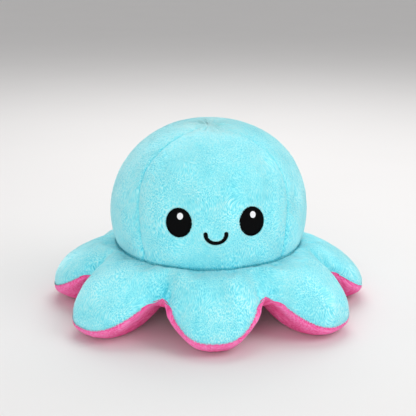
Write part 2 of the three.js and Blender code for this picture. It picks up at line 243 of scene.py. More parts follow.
def mesh_of(name: str, points: Array, faces: list) -> bpy.types.Mesh:
    """Makes a mesh of points, and of faces as lists of their numbers."""
    mesh = bpy.data.meshes.new(name)
    mesh.from_pydata(points.reshape(-1, 3).tolist(), [], faces)
    return mesh


def corners_of(mesh: bpy.types.Mesh) -> Array:
    """Number of the point at each corner of each face."""
    corners = np.zeros(len(mesh.loops), np.int32)
    mesh.loops.foreach_get("vertex_index", corners)
    return corners


def keep_map(mesh: bpy.types.Mesh, name: str, flat: Array) -> None:
    """Keeps two values for each point as a UV map."""
    layer = mesh.uv_layers.get(name) or mesh.uv_layers.new(name=name)
    layer.data.foreach_set("uv", flat[corners_of(mesh)].astype(np.float32).ravel())


def keep_pile(mesh: bpy.types.Mesh, pile: Array) -> None:
    """Keeps the pile value of each point, from -1 to 1: how far up in the pile it is, lowered for painted shade and
    raised for painted highlights.
    """
    mesh.attributes.new("pile", "FLOAT", "POINT").data.foreach_set("value", pile.astype(np.float32).ravel())


def linked(name: str, data: bpy.types.ID) -> Piece:
    """Adds an object with its data to the scene."""
    made = bpy.data.objects.new(name, data)
    bpy.context.scene.collection.objects.link(made)
    return made


def apply_place() -> None:
    """Works the active object's place, turn and size into its mesh."""
    bpy.ops.object.transform_apply(location=True, rotation=True, scale=True)


def modified(made: Piece, kind: str, **settings: object) -> None:
    """Puts a modifier on the active object and applies it."""
    modifier = made.modifiers.new(kind.lower(), kind)
    for name, value in settings.items():
        setattr(modifier, name, value)
    bpy.ops.object.modifier_apply(modifier=modifier.name)


@dataclass(frozen=True)
class HeadForm:
    """The outside of the head: an upright ellipsoid, drawn in at its crown and along its seams."""

    radius: float = 0.1255
    rise: float = 0.1183
    centre: float = 0.119
    crease_height: float = 0.078
    crown_dip: float = 0.0060
    crown_spread: float = 0.032
    crown_knot: float = 0.0006
    seam_dip: float = 0.0019
    seam_spread: float = 0.0045
    turn: float = math.radians(1.4)
    crown_lean: float = math.radians(5)
    gore_bow: float = math.radians(12.5)
    bow_high_share: float = 1.3

    @property
    def axes(self) -> Array:
        """Half-widths of the plain ellipsoid."""
        return np.array([self.radius, self.radius, self.rise])

    @property
    def crease_slope(self) -> float:
        """Elevation of the crease on the ball that the head is stretched from."""
        return math.asin((self.crease_height - self.centre) / self.rise)

    @property
    def crease_radius(self) -> float:
        """Distance of the crease from the upright axis."""
        return self.radius * math.cos(self.crease_slope)

    @property
    def crown_direction(self) -> Array:
        """Direction of the crown on that ball."""
        lean = math.sin(self.crown_lean)
        return np.array([lean * math.sin(self.turn), -lean * math.cos(self.turn), math.cos(self.crown_lean)])

    @property
    def crown(self) -> Array:
        """The crown's point of the plain ellipsoid."""
        return self.stretched(self.crown_direction)

    def round_crown(self, points: Array) -> tuple[Array, Array]:
        """Distances of points from the crown, and the angles that they lie at round it."""
        away = points - self.crown
        return np.linalg.norm(away, axis=-1), np.arctan2(away[..., 0], away[..., 1])

    def stretched(self, direction: Array) -> Array:
        """A direction on the ball as a point of the plain ellipsoid."""
        return direction * self.axes + UP * self.centre

    def outward(self, direction: Array) -> Array:
        """Unit normal of the plain ellipsoid at a direction on the ball."""
        return unit(direction / self.axes)

    def climb(self, azimuth: Array, share: Array) -> Array:
        """Directions at shares of the way from the crease, at an azimuth, up to the crown."""
        start = swing(azimuth + self.turn, math.cos(self.crease_slope), math.sin(self.crease_slope))
        crown = self.crown_direction
        angle = np.arccos(start @ crown)[..., None]
        share = share[..., None]
        return (start * np.sin((1 - share) * angle) + crown * np.sin(share * angle)) / np.sin(angle)

    def seam_azimuth(self, seam: int, share: Array) -> Array:
        """Azimuth of a gore seam. Number 0 is at the front right, and -1 at the front left."""
        bow = self.gore_bow * np.sin(np.pi * share ** self.bow_high_share) ** 2
        return math.pi / 2 * (seam + 0.5) + (bow if seam % 2 == 0 else -bow)

    def seam_draw(self, seam: Array) -> Array:
        """How far a seam draws the cloth in at distances from it."""
        return faded(seam, self.seam_dip, self.seam_spread)


@dataclass(frozen=True)
class HollowForm:
    """The hollow under the head: a straight wall from the hem to its waist, and a dome over that."""

    radius: float = 0.098
    hem_height: float = 0.052
    waist: float = 0.090
    top: float = 0.198

    def wall(self, azimuth: Array, share: Array) -> Array:
        """Points at shares of the way from the hem up to the middle of the dome."""
        straight, dome = self.waist - self.hem_height, self.top - self.waist
        along = share * (straight + dome * math.pi / 2)
        angle = np.maximum(along - straight, 0) / dome
        height = np.where(along < straight, self.hem_height + along, self.waist + dome * np.sin(angle))
        return swing(azimuth, self.radius * np.cos(angle), height)


@dataclass(frozen=True)
class SkirtForm:
    """The eight arms and what joins them: a top and an underside that change as they go round."""

    arm_reach: float = 0.1995
    arm_seam: float = 0.0185
    arm_shoulder: float = 0.062
    arm_shoulder_inset: float = 0.0015
    sole_inset: float = 0.0035
    sole_drop: float = 0.011
    sole_belly: float = 0.018
    fold_reach: float = 0.161
    fold_seam: float = 0.054
    fold_shoulder: float = 0.064
    fold_shoulder_inset: float = 0.004
    fold_tuck: float = 0.006
    fold_tuck_drop: float = 0.008
    fold_belly: float = 0.040
    shoulder_run: float = 0.019
    shoulder_lift: float = 0.009
    back_slump: float = 0.018
    slump_start: float = math.radians(75)
    slump_end: float = math.radians(120)
    round_share: float = 1.45
    reach_shares: tuple[float, ...] = (0.975, 1.04, 1.012, 1, 1, 1, 1.012, 1.045)
    lean_shares: tuple[float, ...] = (-0.03, 0.1, -0.12, 0, 0, 0, -0.12, -0.18)
    seam_shares: tuple[float, ...] = (1.04, 0.95, 1.05, 1, 1, 1, 1.2, 0.95)
    shoulder_shares: tuple[float, ...] = (1, 1, 0.8, 0.86, 0.88, 0.88, 0.97, 1)

    @property
    def pitch(self) -> float:
        """Angle from one arm to the next."""
        return 2 * math.pi / len(ARM_NAMES)

    def azimuth(self, arm: int, across: Array) -> Array:
        """Azimuths on an arm, from its left fold at -1 over its middle at 0 to its right fold at 1."""
        lean = self.lean_shares[arm]
        side = np.where(across < 0, 1 + lean, 1 - lean)
        return self.pitch * (arm + lean / 2 + across * side / 2)

    def corners(self, arm: int, across: Array, upper: bool) -> tuple[Array, list[Array]]:
        """Where the cloth's profile runs at places across an arm.

        Args:
            arm: Number of the arm.
            across: Places across it, from -1 to 1.
            upper: Whether it is the top, and not the underside.

        Returns:
            The azimuths, and the four corners of the profile's cubic curve, each with a radius and a
            height. A top starts at the crease and an underside at the side seam.
        """
        azimuth = self.azimuth(arm, across)
        full = np.cos(math.pi / 2 * np.abs(across) ** self.round_share) ** 2
        behind = np.arccos(np.cos(azimuth))
        slump = self.back_slump * smoothstep(behind, self.slump_start, self.slump_end)
        reach = self.arm_reach * self.reach_shares[arm]
        head, hollow = HeadForm(), HollowForm()

        def corner(fold_radius: float, fold_height: Array, tip_radius: float, tip_height: float) -> Array:
            radius = fold_radius + (tip_radius - fold_radius) * full
            return np.stack(np.broadcast_arrays(radius, fold_height + (tip_height - fold_height) * full), -1)

        seam = corner(self.fold_reach, self.fold_seam - slump, reach, self.arm_seam * self.seam_shares[arm])
        if upper:
            crease = corner(head.crease_radius, head.crease_height, head.crease_radius, head.crease_height)
            rise = head.crease_height + self.shoulder_lift - slump
            lift = np.stack(np.broadcast_arrays(head.crease_radius + self.shoulder_run, rise), -1)
            shoulder = corner(self.fold_reach - self.fold_shoulder_inset, self.fold_shoulder - slump,
                              reach - self.arm_shoulder_inset, self.arm_shoulder * self.shoulder_shares[arm])
            return azimuth, [crease, lift, shoulder, seam]
        tuck = corner(self.fold_reach - self.fold_tuck, self.fold_seam - slump - self.fold_tuck_drop,
                      reach - self.sole_inset, -self.sole_drop)
        belly = corner(hollow.radius, self.fold_belly, hollow.radius, -self.sole_belly)
        hem = corner(hollow.radius, hollow.hem_height, hollow.radius, hollow.hem_height)
        return azimuth, [seam, tuck, belly, hem]

    def surface(self, arm: int, across: Array, along: Array, upper: bool) -> Array:
        """Points of an arm's top or underside.

        Args:
            arm: Number of the arm.
            across: Places across it, from -1 to 1, a column each.
            along: Shares of the way along the profile's curve, a row each.
            upper: Whether it is the top, and not the underside.

        Returns:
            The points, rows by columns by three.
        """
        azimuth, (start, first, second, end) = self.corners(arm, across, upper)
        share = along[:, None, None]
        rest = 1 - share
        line = rest ** 3 * start + 3 * rest ** 2 * share * first + 3 * rest * share ** 2 * second + share ** 3 * end
        return swing(azimuth[None, :], line[..., 0], np.maximum(line[..., 1], FLOOR_GAP))


@dataclass(frozen=True)
class Filling:
    """Swells a sheet of cloth between its seams by a cloth simulation, as stuffing does.

    Attributes:
        slack: How much more cloth there is than its rest shape needs.
        most: How far a point may move.
        pressure: Of the filling.
        frames: How many frames the simulation runs.
    """

    slack: float
    most: float
    pressure: float = 4.0
    frames: int = 20

    def sheet(self, name: str, grid: Array, held: Array, facing: int, ring: bool) -> Piece:
        """Adds the sheet as a mesh with a group of held points."""
        numbers = numbered(grid)
        faces = cells(np.concatenate([numbers, numbers[:, :1]], 1) if ring else numbers)
        made = linked(name, mesh_of(name, grid, (faces if facing > 0 else faces[:, ::-1]).tolist()))
        made.vertex_groups.new(name="held").add(numbers[held].tolist(), 1.0, "REPLACE")
        return made

    def swell(self, name: str, grid: Array, held: Array, facing: int, ring: bool = False) -> Array:
        """Runs the simulation on a coarse grid of points.

        Args:
            name: Of the sheet.
            grid: Its points, rows by columns by three.
            held: Which of them the seams hold.
            facing: 1 where rows up and columns to the right show the outside, and -1 where the inside.
            ring: Whether the first column follows the last.

        Returns: How far each point moves, at most by the cap.
        """
        made = self.sheet(name, grid, held, facing, ring)
        cloth = made.modifiers.new("cloth", "CLOTH")
        settings = cloth.settings
        settings.use_pressure, settings.uniform_pressure_force = True, self.pressure
        settings.shrink_min, settings.vertex_group_mass = -self.slack, "held"
        settings.effector_weights.gravity = 0
        cloth.point_cache.frame_start, cloth.point_cache.frame_end = 1, self.frames
        for frame_number in range(1, self.frames + 1):
            bpy.context.scene.frame_set(frame_number)
        bpy.context.view_layer.objects.active = made
        bpy.ops.object.modifier_apply(modifier=cloth.name)
        places = np.zeros(grid.size)
        made.data.vertices.foreach_get("co", places)
        bpy.data.objects.remove(made)
        bpy.context.scene.frame_set(1)
        moves = places.reshape(grid.shape) - grid
        far = np.linalg.norm(moves, axis=-1, keepdims=True)
        LOG.info("%s: swells by up to %.1f mm before the cap", name, 1000 * far.max())
        return moves / np.maximum(1, far / self.most)


@dataclass(frozen=True)
class Pile:
    """Tufts of short pile on a cloth, longer along its nap than they are wide.

    Attributes:
        height: How far the highest tufts stand proud of the middle.
        tuft: Width of a tuft.
        combed: How many times longer than wide a tuft is.
        wander: How far its rows stray to the side.
        wander_size: Over how far they do.
        girth: Radius of the drum that the rows are laid out on.
        fine_share: Share of tufts of half the size.
        broad_share: Height of the broad unevenness, as a share of the tufts'.
        contrast: How far up and down in the pile the tufts count.
        seed: Number of the pattern.
    """

    height: float = 0.0004
    tuft: float = 0.0022
    combed: float = 2.5
    wander: float = 0.004
    wander_size: float = 0.022
    girth: float = 0.13
    fine_share: float = 0.2
    broad_share: float = 0.7
    contrast: float = 0.4
    seed: int = 11

    def grow(self, points: Array, normals: Array, run: Array, keep: Array | float) -> tuple[Array, Array]:
        """Stands the tufts up from a surface.

        Args:
            points: The surface.
            normals: Its unit normals.
            run: Distance along the nap at each point.
            keep: Share of the height at each point, lower where something presses on the pile.

        Returns:
            The points with the pile, and how far up in the pile each is, from -1 to 1.
        """
        wander = self.wander * tufts(points, self.wander_size, self.seed + 3)
        place = swing(azimuth_of(points) + wander / self.girth, self.girth, run / self.combed)
        fine = tufts(place, self.tuft / 2, self.seed + 1)
        lift = (1 - self.fine_share) * tufts(place, self.tuft, self.seed) + self.fine_share * fine
        broad = self.broad_share * tufts(points, self.tuft * 6, self.seed + 2)
        return points + normals * (self.height * (lift + broad) * keep)[..., None], self.contrast * lift * keep


@dataclass(frozen=True)
class Spike:
    """The form of one end of pile: two rings of three points and a tip.

    Attributes:
        rings: For each ring, how far along the spike it is and how wide, as shares.
        faces: Its faces, by the numbers of its points.
        pile: How much further up in the pile its points count, which paints its root darker as shade and its tip
            paler as a highlight.
        steps: How many steps along the nap its points are.
        step: Length of such a step.
        flatness: Its height as a share of its width.
        arch: How far it bends out of the cloth, as a share of its length.
        droop: How far its tip hangs back.
    """

    rings: Pairs = ((-0.2, 1.0), (0.5, 0.8))
    faces: tuple[tuple[int, ...], ...] = ((0, 1, 2), (0, 3, 4, 1), (1, 4, 5, 2), (2, 5, 3, 0),
                                          (3, 6, 4), (4, 6, 5), (5, 6, 3))
    pile: tuple[float, ...] = (-0.3, -0.3, -0.3, 0.1, 0.1, 0.1, 0.4)
    steps: tuple[int, ...] = (0, 0, 0, 1, 1, 1, 2)
    step: float = 0.001
    flatness: float = 0.6
    arch: float = 0.12
    droop: float = 0.05


@dataclass(frozen=True)
class Fringe:
    """Short ends of pile that stand over an edge, each a thin bent spike.

    Attributes:
        name: Name of the piece.
        roots: Where the spikes start, one to a row.
        ways: Unit directions that they lie in.
        outs: Unit directions out of the cloth.
        height: How far up in the pile each counts, from -1 to 1, set low to paint shade or high to paint a highlight.
        length: Of the longest.
        width: Of each at its root.
        seed: Number of the pattern.
        spike: The form of each.
    """

    name: str
    roots: Array
    ways: Array
    outs: Array
    height: Array
    length: float
    width: float
    seed: int
    spike: Spike = Spike()

    def points(self, chance: np.random.Generator) -> Array:
        """Points of all the spikes, spikes by points by three."""
        spike, count = self.spike, len(self.roots)
        side = unit(np.cross(self.ways, self.outs))
        stray, rise = chance.normal(0, 0.25, (count, 1)), chance.uniform(0, 0.3, (count, 1))
        way = unit(self.ways + side * stray + self.outs * rise)
        long = self.length * chance.uniform(0.45, 1, (count, 1))
        rings = []
        for share, wide in spike.rings:
            middle = self.roots + way * long * share + self.outs * long * spike.arch * (share + 0.2)
            for turn in (0, 2 * math.pi / 3, 4 * math.pi / 3):
                aside = side * math.cos(turn) + self.outs * math.sin(turn) * spike.flatness
                rings.append(middle + aside * self.width / 2 * wide)
        rings.append(self.roots + way * long - self.outs * long * spike.droop)
        return np.stack(rings, 1)

    def build(self) -> Piece:
        """Builds all the spikes as one mesh."""
        chance = np.random.default_rng(self.seed)
        spike, count, each = self.spike, len(self.roots), len(self.spike.pile)
        points = self.points(chance)
        faces = [[each * number + point for point in face] for number in range(count) for face in spike.faces]
        mesh = mesh_of(self.name, points, faces)
        mesh.shade_smooth()
        mesh.normals_split_custom_set_from_vertices(np.repeat(unit(self.outs), each, axis=0).tolist())
        across = np.repeat(chance.uniform(0, 1, count), each)
        keep_map(mesh, "nap", np.stack([across, np.tile(spike.steps, count) * spike.step], -1))
        keep_pile(mesh, self.height[:, None] + np.array(spike.pile))
        return linked(self.name, mesh)


@dataclass(frozen=True)
class Cover:
    """One piece of plush cloth, closed at its back.

    Attributes:
        name: Name of the piece.
        points: The outer surface with its pile, rows by columns by three.
        normals: Unit normals of the cloth, out of the pile.
        facing: 1 where rows up and columns to the right show the pile, and -1 where they show the back.
        nap: Distances across and along the cloth at each point, which the pile's pattern follows.
        pile: The pile value of each point, from -1 to 1: how far up in the pile it is, lowered for painted shade and
            raised for painted highlights.
        thickness: Of the cloth in its middle.
        edge_thickness: Of the cloth at its edges.
        edge_run: How far in from an edge the cloth has its full thickness.
        coarse: How many fine cells of the front lie over each cell of the back.
        softness: Share of the cloth's own normals in those of the pile, as soft fibres shade.
    """

    name: str
    points: Array
    normals: Array
    facing: int
    nap: Array
    pile: Array
    thickness: float = 0.002
    edge_thickness: float = 0.0003
    edge_run: float = 0.006
    coarse: int = 5
    softness: float = 0.55

    def edge_distance(self) -> Array:
        """Distance of each point from the nearest edge of the cloth, along its rows and columns."""
        across, along = run_length(self.points, 1), run_length(self.points, 0)
        return np.minimum(np.minimum(across, across[:, -1:] - across), np.minimum(along, along[-1:] - along))

    def joined(self, front: Array, back: Array) -> Array:
        """Values of the front's points, and after them those of the back's coarser grid."""
        rough = back[::self.coarse, ::self.coarse]
        return np.concatenate([values.reshape(-1, *values.shape[2:]) for values in (front, rough)])

    def faces(self) -> tuple[list[list[int]], int]:
        """Lists the faces by their points' numbers, turned outwards.

        Returns:
            The faces of front, back and rim, and how many the front and the back have.
        """
        front = numbered(self.points)
        back = front.size + numbered(self.points[::self.coarse, ::self.coarse])
        found = cells(front).tolist() + cells(back)[:, [0, 3, 2, 1]].tolist()
        sides = len(found)
        rims = ((front[0], back[0]), (front[:, -1], back[:, -1]),
                (front[-1, ::-1], back[-1, ::-1]), (front[::-1, 0], back[::-1, 0]))
        for fine, rough in rims:
            for cell in range(len(rough) - 1):
                edge = fine[cell * self.coarse:(cell + 1) * self.coarse + 1]
                found.append([*edge[::-1].tolist(), int(rough[cell]), int(rough[cell + 1])])
        return (found if self.facing > 0 else [face[::-1] for face in found]), sides

    def build(self) -> Piece:
        """Builds the cover as a closed mesh with its nap as a UV map and its pile as an attribute."""
        full = smoothstep(self.edge_distance(), 0, self.edge_run)
        depth = self.edge_thickness + (self.thickness - self.edge_thickness) * full
        faces, sides = self.faces()
        inner = self.points - self.normals * depth[..., None]
        mesh = mesh_of(self.name, self.joined(self.points, inner), faces)
        mesh.shade_smooth()
        mesh.polygons.foreach_set("use_smooth", np.arange(len(mesh.polygons)) < sides)
        rough = grid_normals(self.points) * self.facing
        soft = unit(rough + (self.normals - rough) * self.softness)
        directions = self.joined(soft, -self.normals)[corners_of(mesh)]
        directions[4 * sides:] = 0
        mesh.normals_split_custom_set(directions.tolist())
        keep_map(mesh, "nap", self.joined(self.nap, self.nap))
        keep_pile(mesh, self.joined(self.pile, self.pile))
        return linked(self.name, mesh)


class Nodes:
    """The node tree of a material or a world, with short ways to add and join nodes."""

    def __init__(self, owner: bpy.types.Material | bpy.types.World) -> None:
        """Opens the tree of its owner."""
        owner.use_nodes = True
        self.owner, self.tree = owner, owner.node_tree

    def feed(self, end: Socket, value: object) -> None:
        """Gives an input its value: an output that it is joined to, a number or a colour."""
        if isinstance(value, bpy.types.NodeSocket):
            self.tree.links.new(value, end)
        else:
            end.default_value = (*value, 1) if end.type == "RGBA" else value

    def add(self, kind: str, inputs: dict | None = None, **settings: object) -> bpy.types.Node:
        """Adds a node of a kind with its settings and what feeds its inputs."""
        node = self.tree.nodes.new(f"ShaderNode{kind}")
        for name, value in settings.items():
            setattr(node, name, value)
        for name, value in (inputs or {}).items():
            self.feed(node.inputs[name], value)
        return node

    def place(self) -> Socket:
        """The place on the object."""
        return self.add("TexCoord").outputs["Object"]

    def uv(self, name: str) -> Socket:
        """The place on a UV map."""
        return self.add("UVMap", uv_map=name).outputs["UV"]

    def noise(self, place: Socket, scale: float, detail: float, output: str = "Fac") -> Socket:
        """A noise's value, or its colour, at a place."""
        return self.add("TexNoise", {"Scale": scale, "Detail": detail, "Vector": place}).outputs[output]

    def stretched(self, place: Socket, across: float, along: float) -> Socket:
        """A flat place measured in widths and lengths."""
        return self.add("Mapping", {"Scale": (1 / across, 1 / along, 1), "Vector": place}).outputs["Vector"]

    def math(self, operation: str, first: object, second: object) -> Socket:
        """The result of an operation on two values, each a socket or a number."""
        return self.add("Math", {0: first, 1: second}, operation=operation).outputs[0]

    def plus(self, value: Socket, other: Socket, weight: float) -> Socket:
        """A value with a share of another added."""
        return self.math("ADD", value, self.math("MULTIPLY", other, weight))

    def spread(self, value: Socket, low: float, high: float) -> Socket:
        """A value spread from low..high to 0..1."""
        return self.add("MapRange", {"From Min": low, "From Max": high, "Value": value}).outputs["Result"]

    def blend(self, share: object, first: object, second: object) -> Socket:
        """A mix of two colours, each a socket or a tuple."""
        return self.add("Mix", {0: share, 6: first, 7: second}, data_type="RGBA").outputs[2]

    def bump(self, height: Socket, distance: float, strength: float) -> Socket:
        """Normals of a surface bumped by a height."""
        return self.add("Bump", {"Distance": distance, "Strength": strength, "Height": height}).outputs["Normal"]

    def shade(self, inputs: dict[str, object]) -> bpy.types.Material:
        """Feeds the inputs of the material's Principled shader and gives the material."""
        for name, value in inputs.items():
            self.feed(self.tree.nodes["Principled BSDF"].inputs[name], value)
        return self.owner


def linear(red: int, green: int, blue: int) -> Colour:
    """A screen colour from 0 to 255 as light."""
    return tuple(((c / 255 + 0.055) / 1.055) ** 2.4 if c > 10 else c / 3294.6 for c in (red, green, blue))


@dataclass(frozen=True)
class PlushFinish:
    """Short soft pile: fine streaks along the nap, broad marks where it lies another way, a soft sheen, and painted
    shade and highlights from the pile value.

    Attributes:
        deep: Colour down in the pile, painted where the pile value is low, as shade between the tufts and in seams,
            creases and folds.
        middle: Colour of most of it.
        pale: Colour at the tips, painted where the pile value is high, as a highlight.
        glow: Colour of its sheen.
        streak_width: Width of a streak.
        streak_length: Its length along the nap.
        streak_share: Share of the streaks that follows the nap. The rest is tufted.
        mark_size: Size of the broad marks.
        mark_weight: How much they change the colour.
        pile_weight: How much the pile value changes it: the height in the pile, with painted shade and highlights
            worked in.
        swirl_size: Over how far the streaks turn another way.
        bump_height: How high the streaks stand.
        sheen: Weight of the sheen.
    """

    deep: Colour
    middle: Colour
    pale: Colour
    glow: Colour
    streak_width: float = 0.0009
    streak_length: float = 0.0028
    streak_share: float = 0.85
    mark_size: float = 0.03
    mark_weight: float = 0.16
    pile_weight: float = 0.3
    swirl_size: float = 0.05
    bump_height: float = 0.0006
    sheen: float = 1.0

    def swept(self, nodes: Nodes) -> Socket:
        """The nap's map, pushed about so that its streaks swirl."""
        wander = nodes.noise(nodes.place(), 1 / self.swirl_size, 1, "Color")
        inputs = {0: wander, 1: (self.swirl_size, self.swirl_size, 0), 2: nodes.uv("nap")}
        return nodes.add("VectorMath", inputs, operation="MULTIPLY_ADD").outputs[0]

    def streaks(self, nodes: Nodes, place: Socket) -> Socket:
        """Fine streaks along the nap, from 0 to 1, broken up by tufts."""
        along = nodes.noise(nodes.stretched(self.swept(nodes), self.streak_width, self.streak_length), 1, 1)
        tufted = nodes.noise(place, 0.5 / self.streak_width, 2)
        return nodes.plus(nodes.math("MULTIPLY", nodes.spread(along, 0.36, 0.64), self.streak_share),
                          nodes.spread(tufted, 0.3, 0.7), 1 - self.streak_share)

    def material(self, name: str) -> bpy.types.Material:
        """Makes the material."""
        nodes = Nodes(bpy.data.materials.new(name))
        place = nodes.place()
        streaks = self.streaks(nodes, place)
        marks = nodes.spread(nodes.noise(place, 1 / self.mark_size, 2), 0.3, 0.7)
        pile = nodes.add("Attribute", attribute_name="pile").outputs["Fac"]
        ruffled = nodes.spread(nodes.noise(place, 0.6 / self.mark_size, 1), 0.40, 0.60)
        ruffled = nodes.math("ADD", nodes.math("MULTIPLY", ruffled, 0.30), 0.45)
        lit = nodes.math("MULTIPLY", nodes.math("SUBTRACT", streaks, 0.5), ruffled)
        lit = nodes.plus(lit, nodes.math("SUBTRACT", marks, 0.5), self.mark_weight)
        # Painted shade and highlights: the pile value pulls the colour towards deep where it is low and towards pale
        # where it is high.
        lit = nodes.plus(lit, pile, self.pile_weight)
        low = nodes.blend(nodes.spread(lit, -0.45, 0), self.deep, self.middle)
        return nodes.shade({"Base Color": nodes.blend(nodes.spread(lit, 0, 0.45), low, self.pale),
                            "Normal": nodes.bump(streaks, self.bump_height, 0.7),
                            "Roughness": 0.95, "Specular IOR Level": 0.05,
                            "Sheen Weight": nodes.math("MULTIPLY", nodes.spread(pile, -1.0, 0), self.sheen),
                            "Sheen Roughness": 0.5, "Sheen Tint": self.glow})


@dataclass(frozen=True)
class ThreadFinish:
    """Satin stitch: glossy thread laid side by side, painted lighter along each thread's crest as a highlight and
    darker at its sides as shade, with a slightly uneven colour.
    """

    dark: Colour
    light: Colour
    thread_width: float = 0.00045
    stitch_length: float = 0.004
    roughness: float = 0.55
    gloss: float = 0.3

    def material(self, name: str) -> bpy.types.Material:
        """Makes the material."""
        nodes = Nodes(bpy.data.materials.new(name))
        place = nodes.uv("thread")
        across = nodes.add("SeparateXYZ", {0: place}).outputs["X"]
        turns = nodes.math("MULTIPLY", across, 2 * math.pi / self.thread_width)
        ridge = nodes.spread(nodes.math("SINE", turns, 0), -1, 1)
        uneven = nodes.noise(nodes.stretched(place, self.thread_width, self.stitch_length), 1, 1)
        # Painted highlight and shade: each thread is lighter along its crest and darker at its sides, made uneven by
        # the noise.
        lit = nodes.math("MULTIPLY", ridge, uneven)
        return nodes.shade({"Base Color": nodes.blend(lit, self.dark, self.light),
                            "Normal": nodes.bump(ridge, 0.00015, 0.5),
                            "Roughness": self.roughness, "Specular IOR Level": self.gloss})


@dataclass(frozen=True)
class PaperFinish:
    """The studio's matt floor."""

    colour: Colour = PAPER

    def material(self, name: str) -> bpy.types.Material:
        """Makes the material."""
        nodes = Nodes(bpy.data.materials.new(name))
        grain = nodes.noise(nodes.place(), 4, 2)
        darker = tuple(0.97 * c for c in self.colour)
        return nodes.shade({"Base Color": nodes.blend(grain, self.colour, darker), "Roughness": 0.9})


FINISHES = {
    Slot.AQUA: PlushFinish(linear(76, 210, 232), linear(140, 242, 252), linear(204, 254, 255),
                           linear(215, 249, 253)),
    Slot.PINK: PlushFinish(linear(230, 46, 116), linear(255, 106, 176), linear(255, 156, 208),
                           linear(255, 165, 212), sheen=0.6),
    Slot.BLACK: ThreadFinish(linear(2, 2, 3), linear(8, 8, 10), gloss=0.05),
    Slot.WHITE: ThreadFinish(linear(240, 241, 245), linear(254, 254, 255)),
}


def dress(piece: Piece, cloths: Cloths, slot: Slot) -> None:
    """Gives a piece its material, which is named for the record's slot."""
    piece.data.materials.clear()
    piece.data.materials.append(cloths[slot])


def sew_to_body(piece: Piece, cloths: Cloths, slot: Slot) -> Piece:
    """Dresses a piece that rides on the body."""
    dress(piece, cloths, slot)
    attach(piece, BODY)
    return piece


@dataclass(frozen=True)
class Motif:
    """Where a flat piece of embroidery lies on the head.

    Attributes:
        azimuth: Of its middle, on the head before the head's own turn.
        height: Of its middle.
        roll: How far it is turned on the head, from across towards up.
        aside: How far it is moved across from its middle.
        above: How far it is moved up from its middle.
    """

    azimuth: float
    height: float
    roll: float = 0.0
    aside: float = 0.0
    above: float = 0.0

    def frame(self, form: HeadForm) -> Matrix:
        """Its place on the head: X across, Y up and Z out."""
        level = math.asin((self.height - form.centre) / form.rise)
        turned = self.azimuth + form.turn
        middle = swing(turned, math.cos(level), math.sin(level))
        across = swing(turned + math.pi / 2, 1.0, 0.0)
        up = unit(np.cross(middle, across) * form.axes)
        axes = np.stack([across, up, form.outward(middle), form.stretched(middle)], -1)
        matrix = Matrix([*axes.tolist(), [0, 0, 0, 1]])
        return matrix @ Matrix.Rotation(self.roll, 4, "Z") @ Matrix.Translation((self.aside, self.above, 0))

    def flat(self, form: HeadForm, points: Array) -> Array:
        """Points of the head as seen on the flat motif: across, up and out."""
        inverse = np.array(self.frame(form).inverted())
        return points @ inverse[:3, :3].T + inverse[:3, 3]


@dataclass(frozen=True)
class Stitches:
    """How a flat piece of embroidery is sewn to the head.

    Attributes:
        node: The node that it stands for.
        slot: Of its thread.
        motif: Where it goes.
        rings: For each line of its points, its highest share of the way out and how far it moves out.
        lift: How far its back lies over the head's plain ball.
        height: How high its thread stands over its back.
    """

    node: str
    slot: Slot
    motif: Motif
    rings: Pairs
    lift: float
    height: float


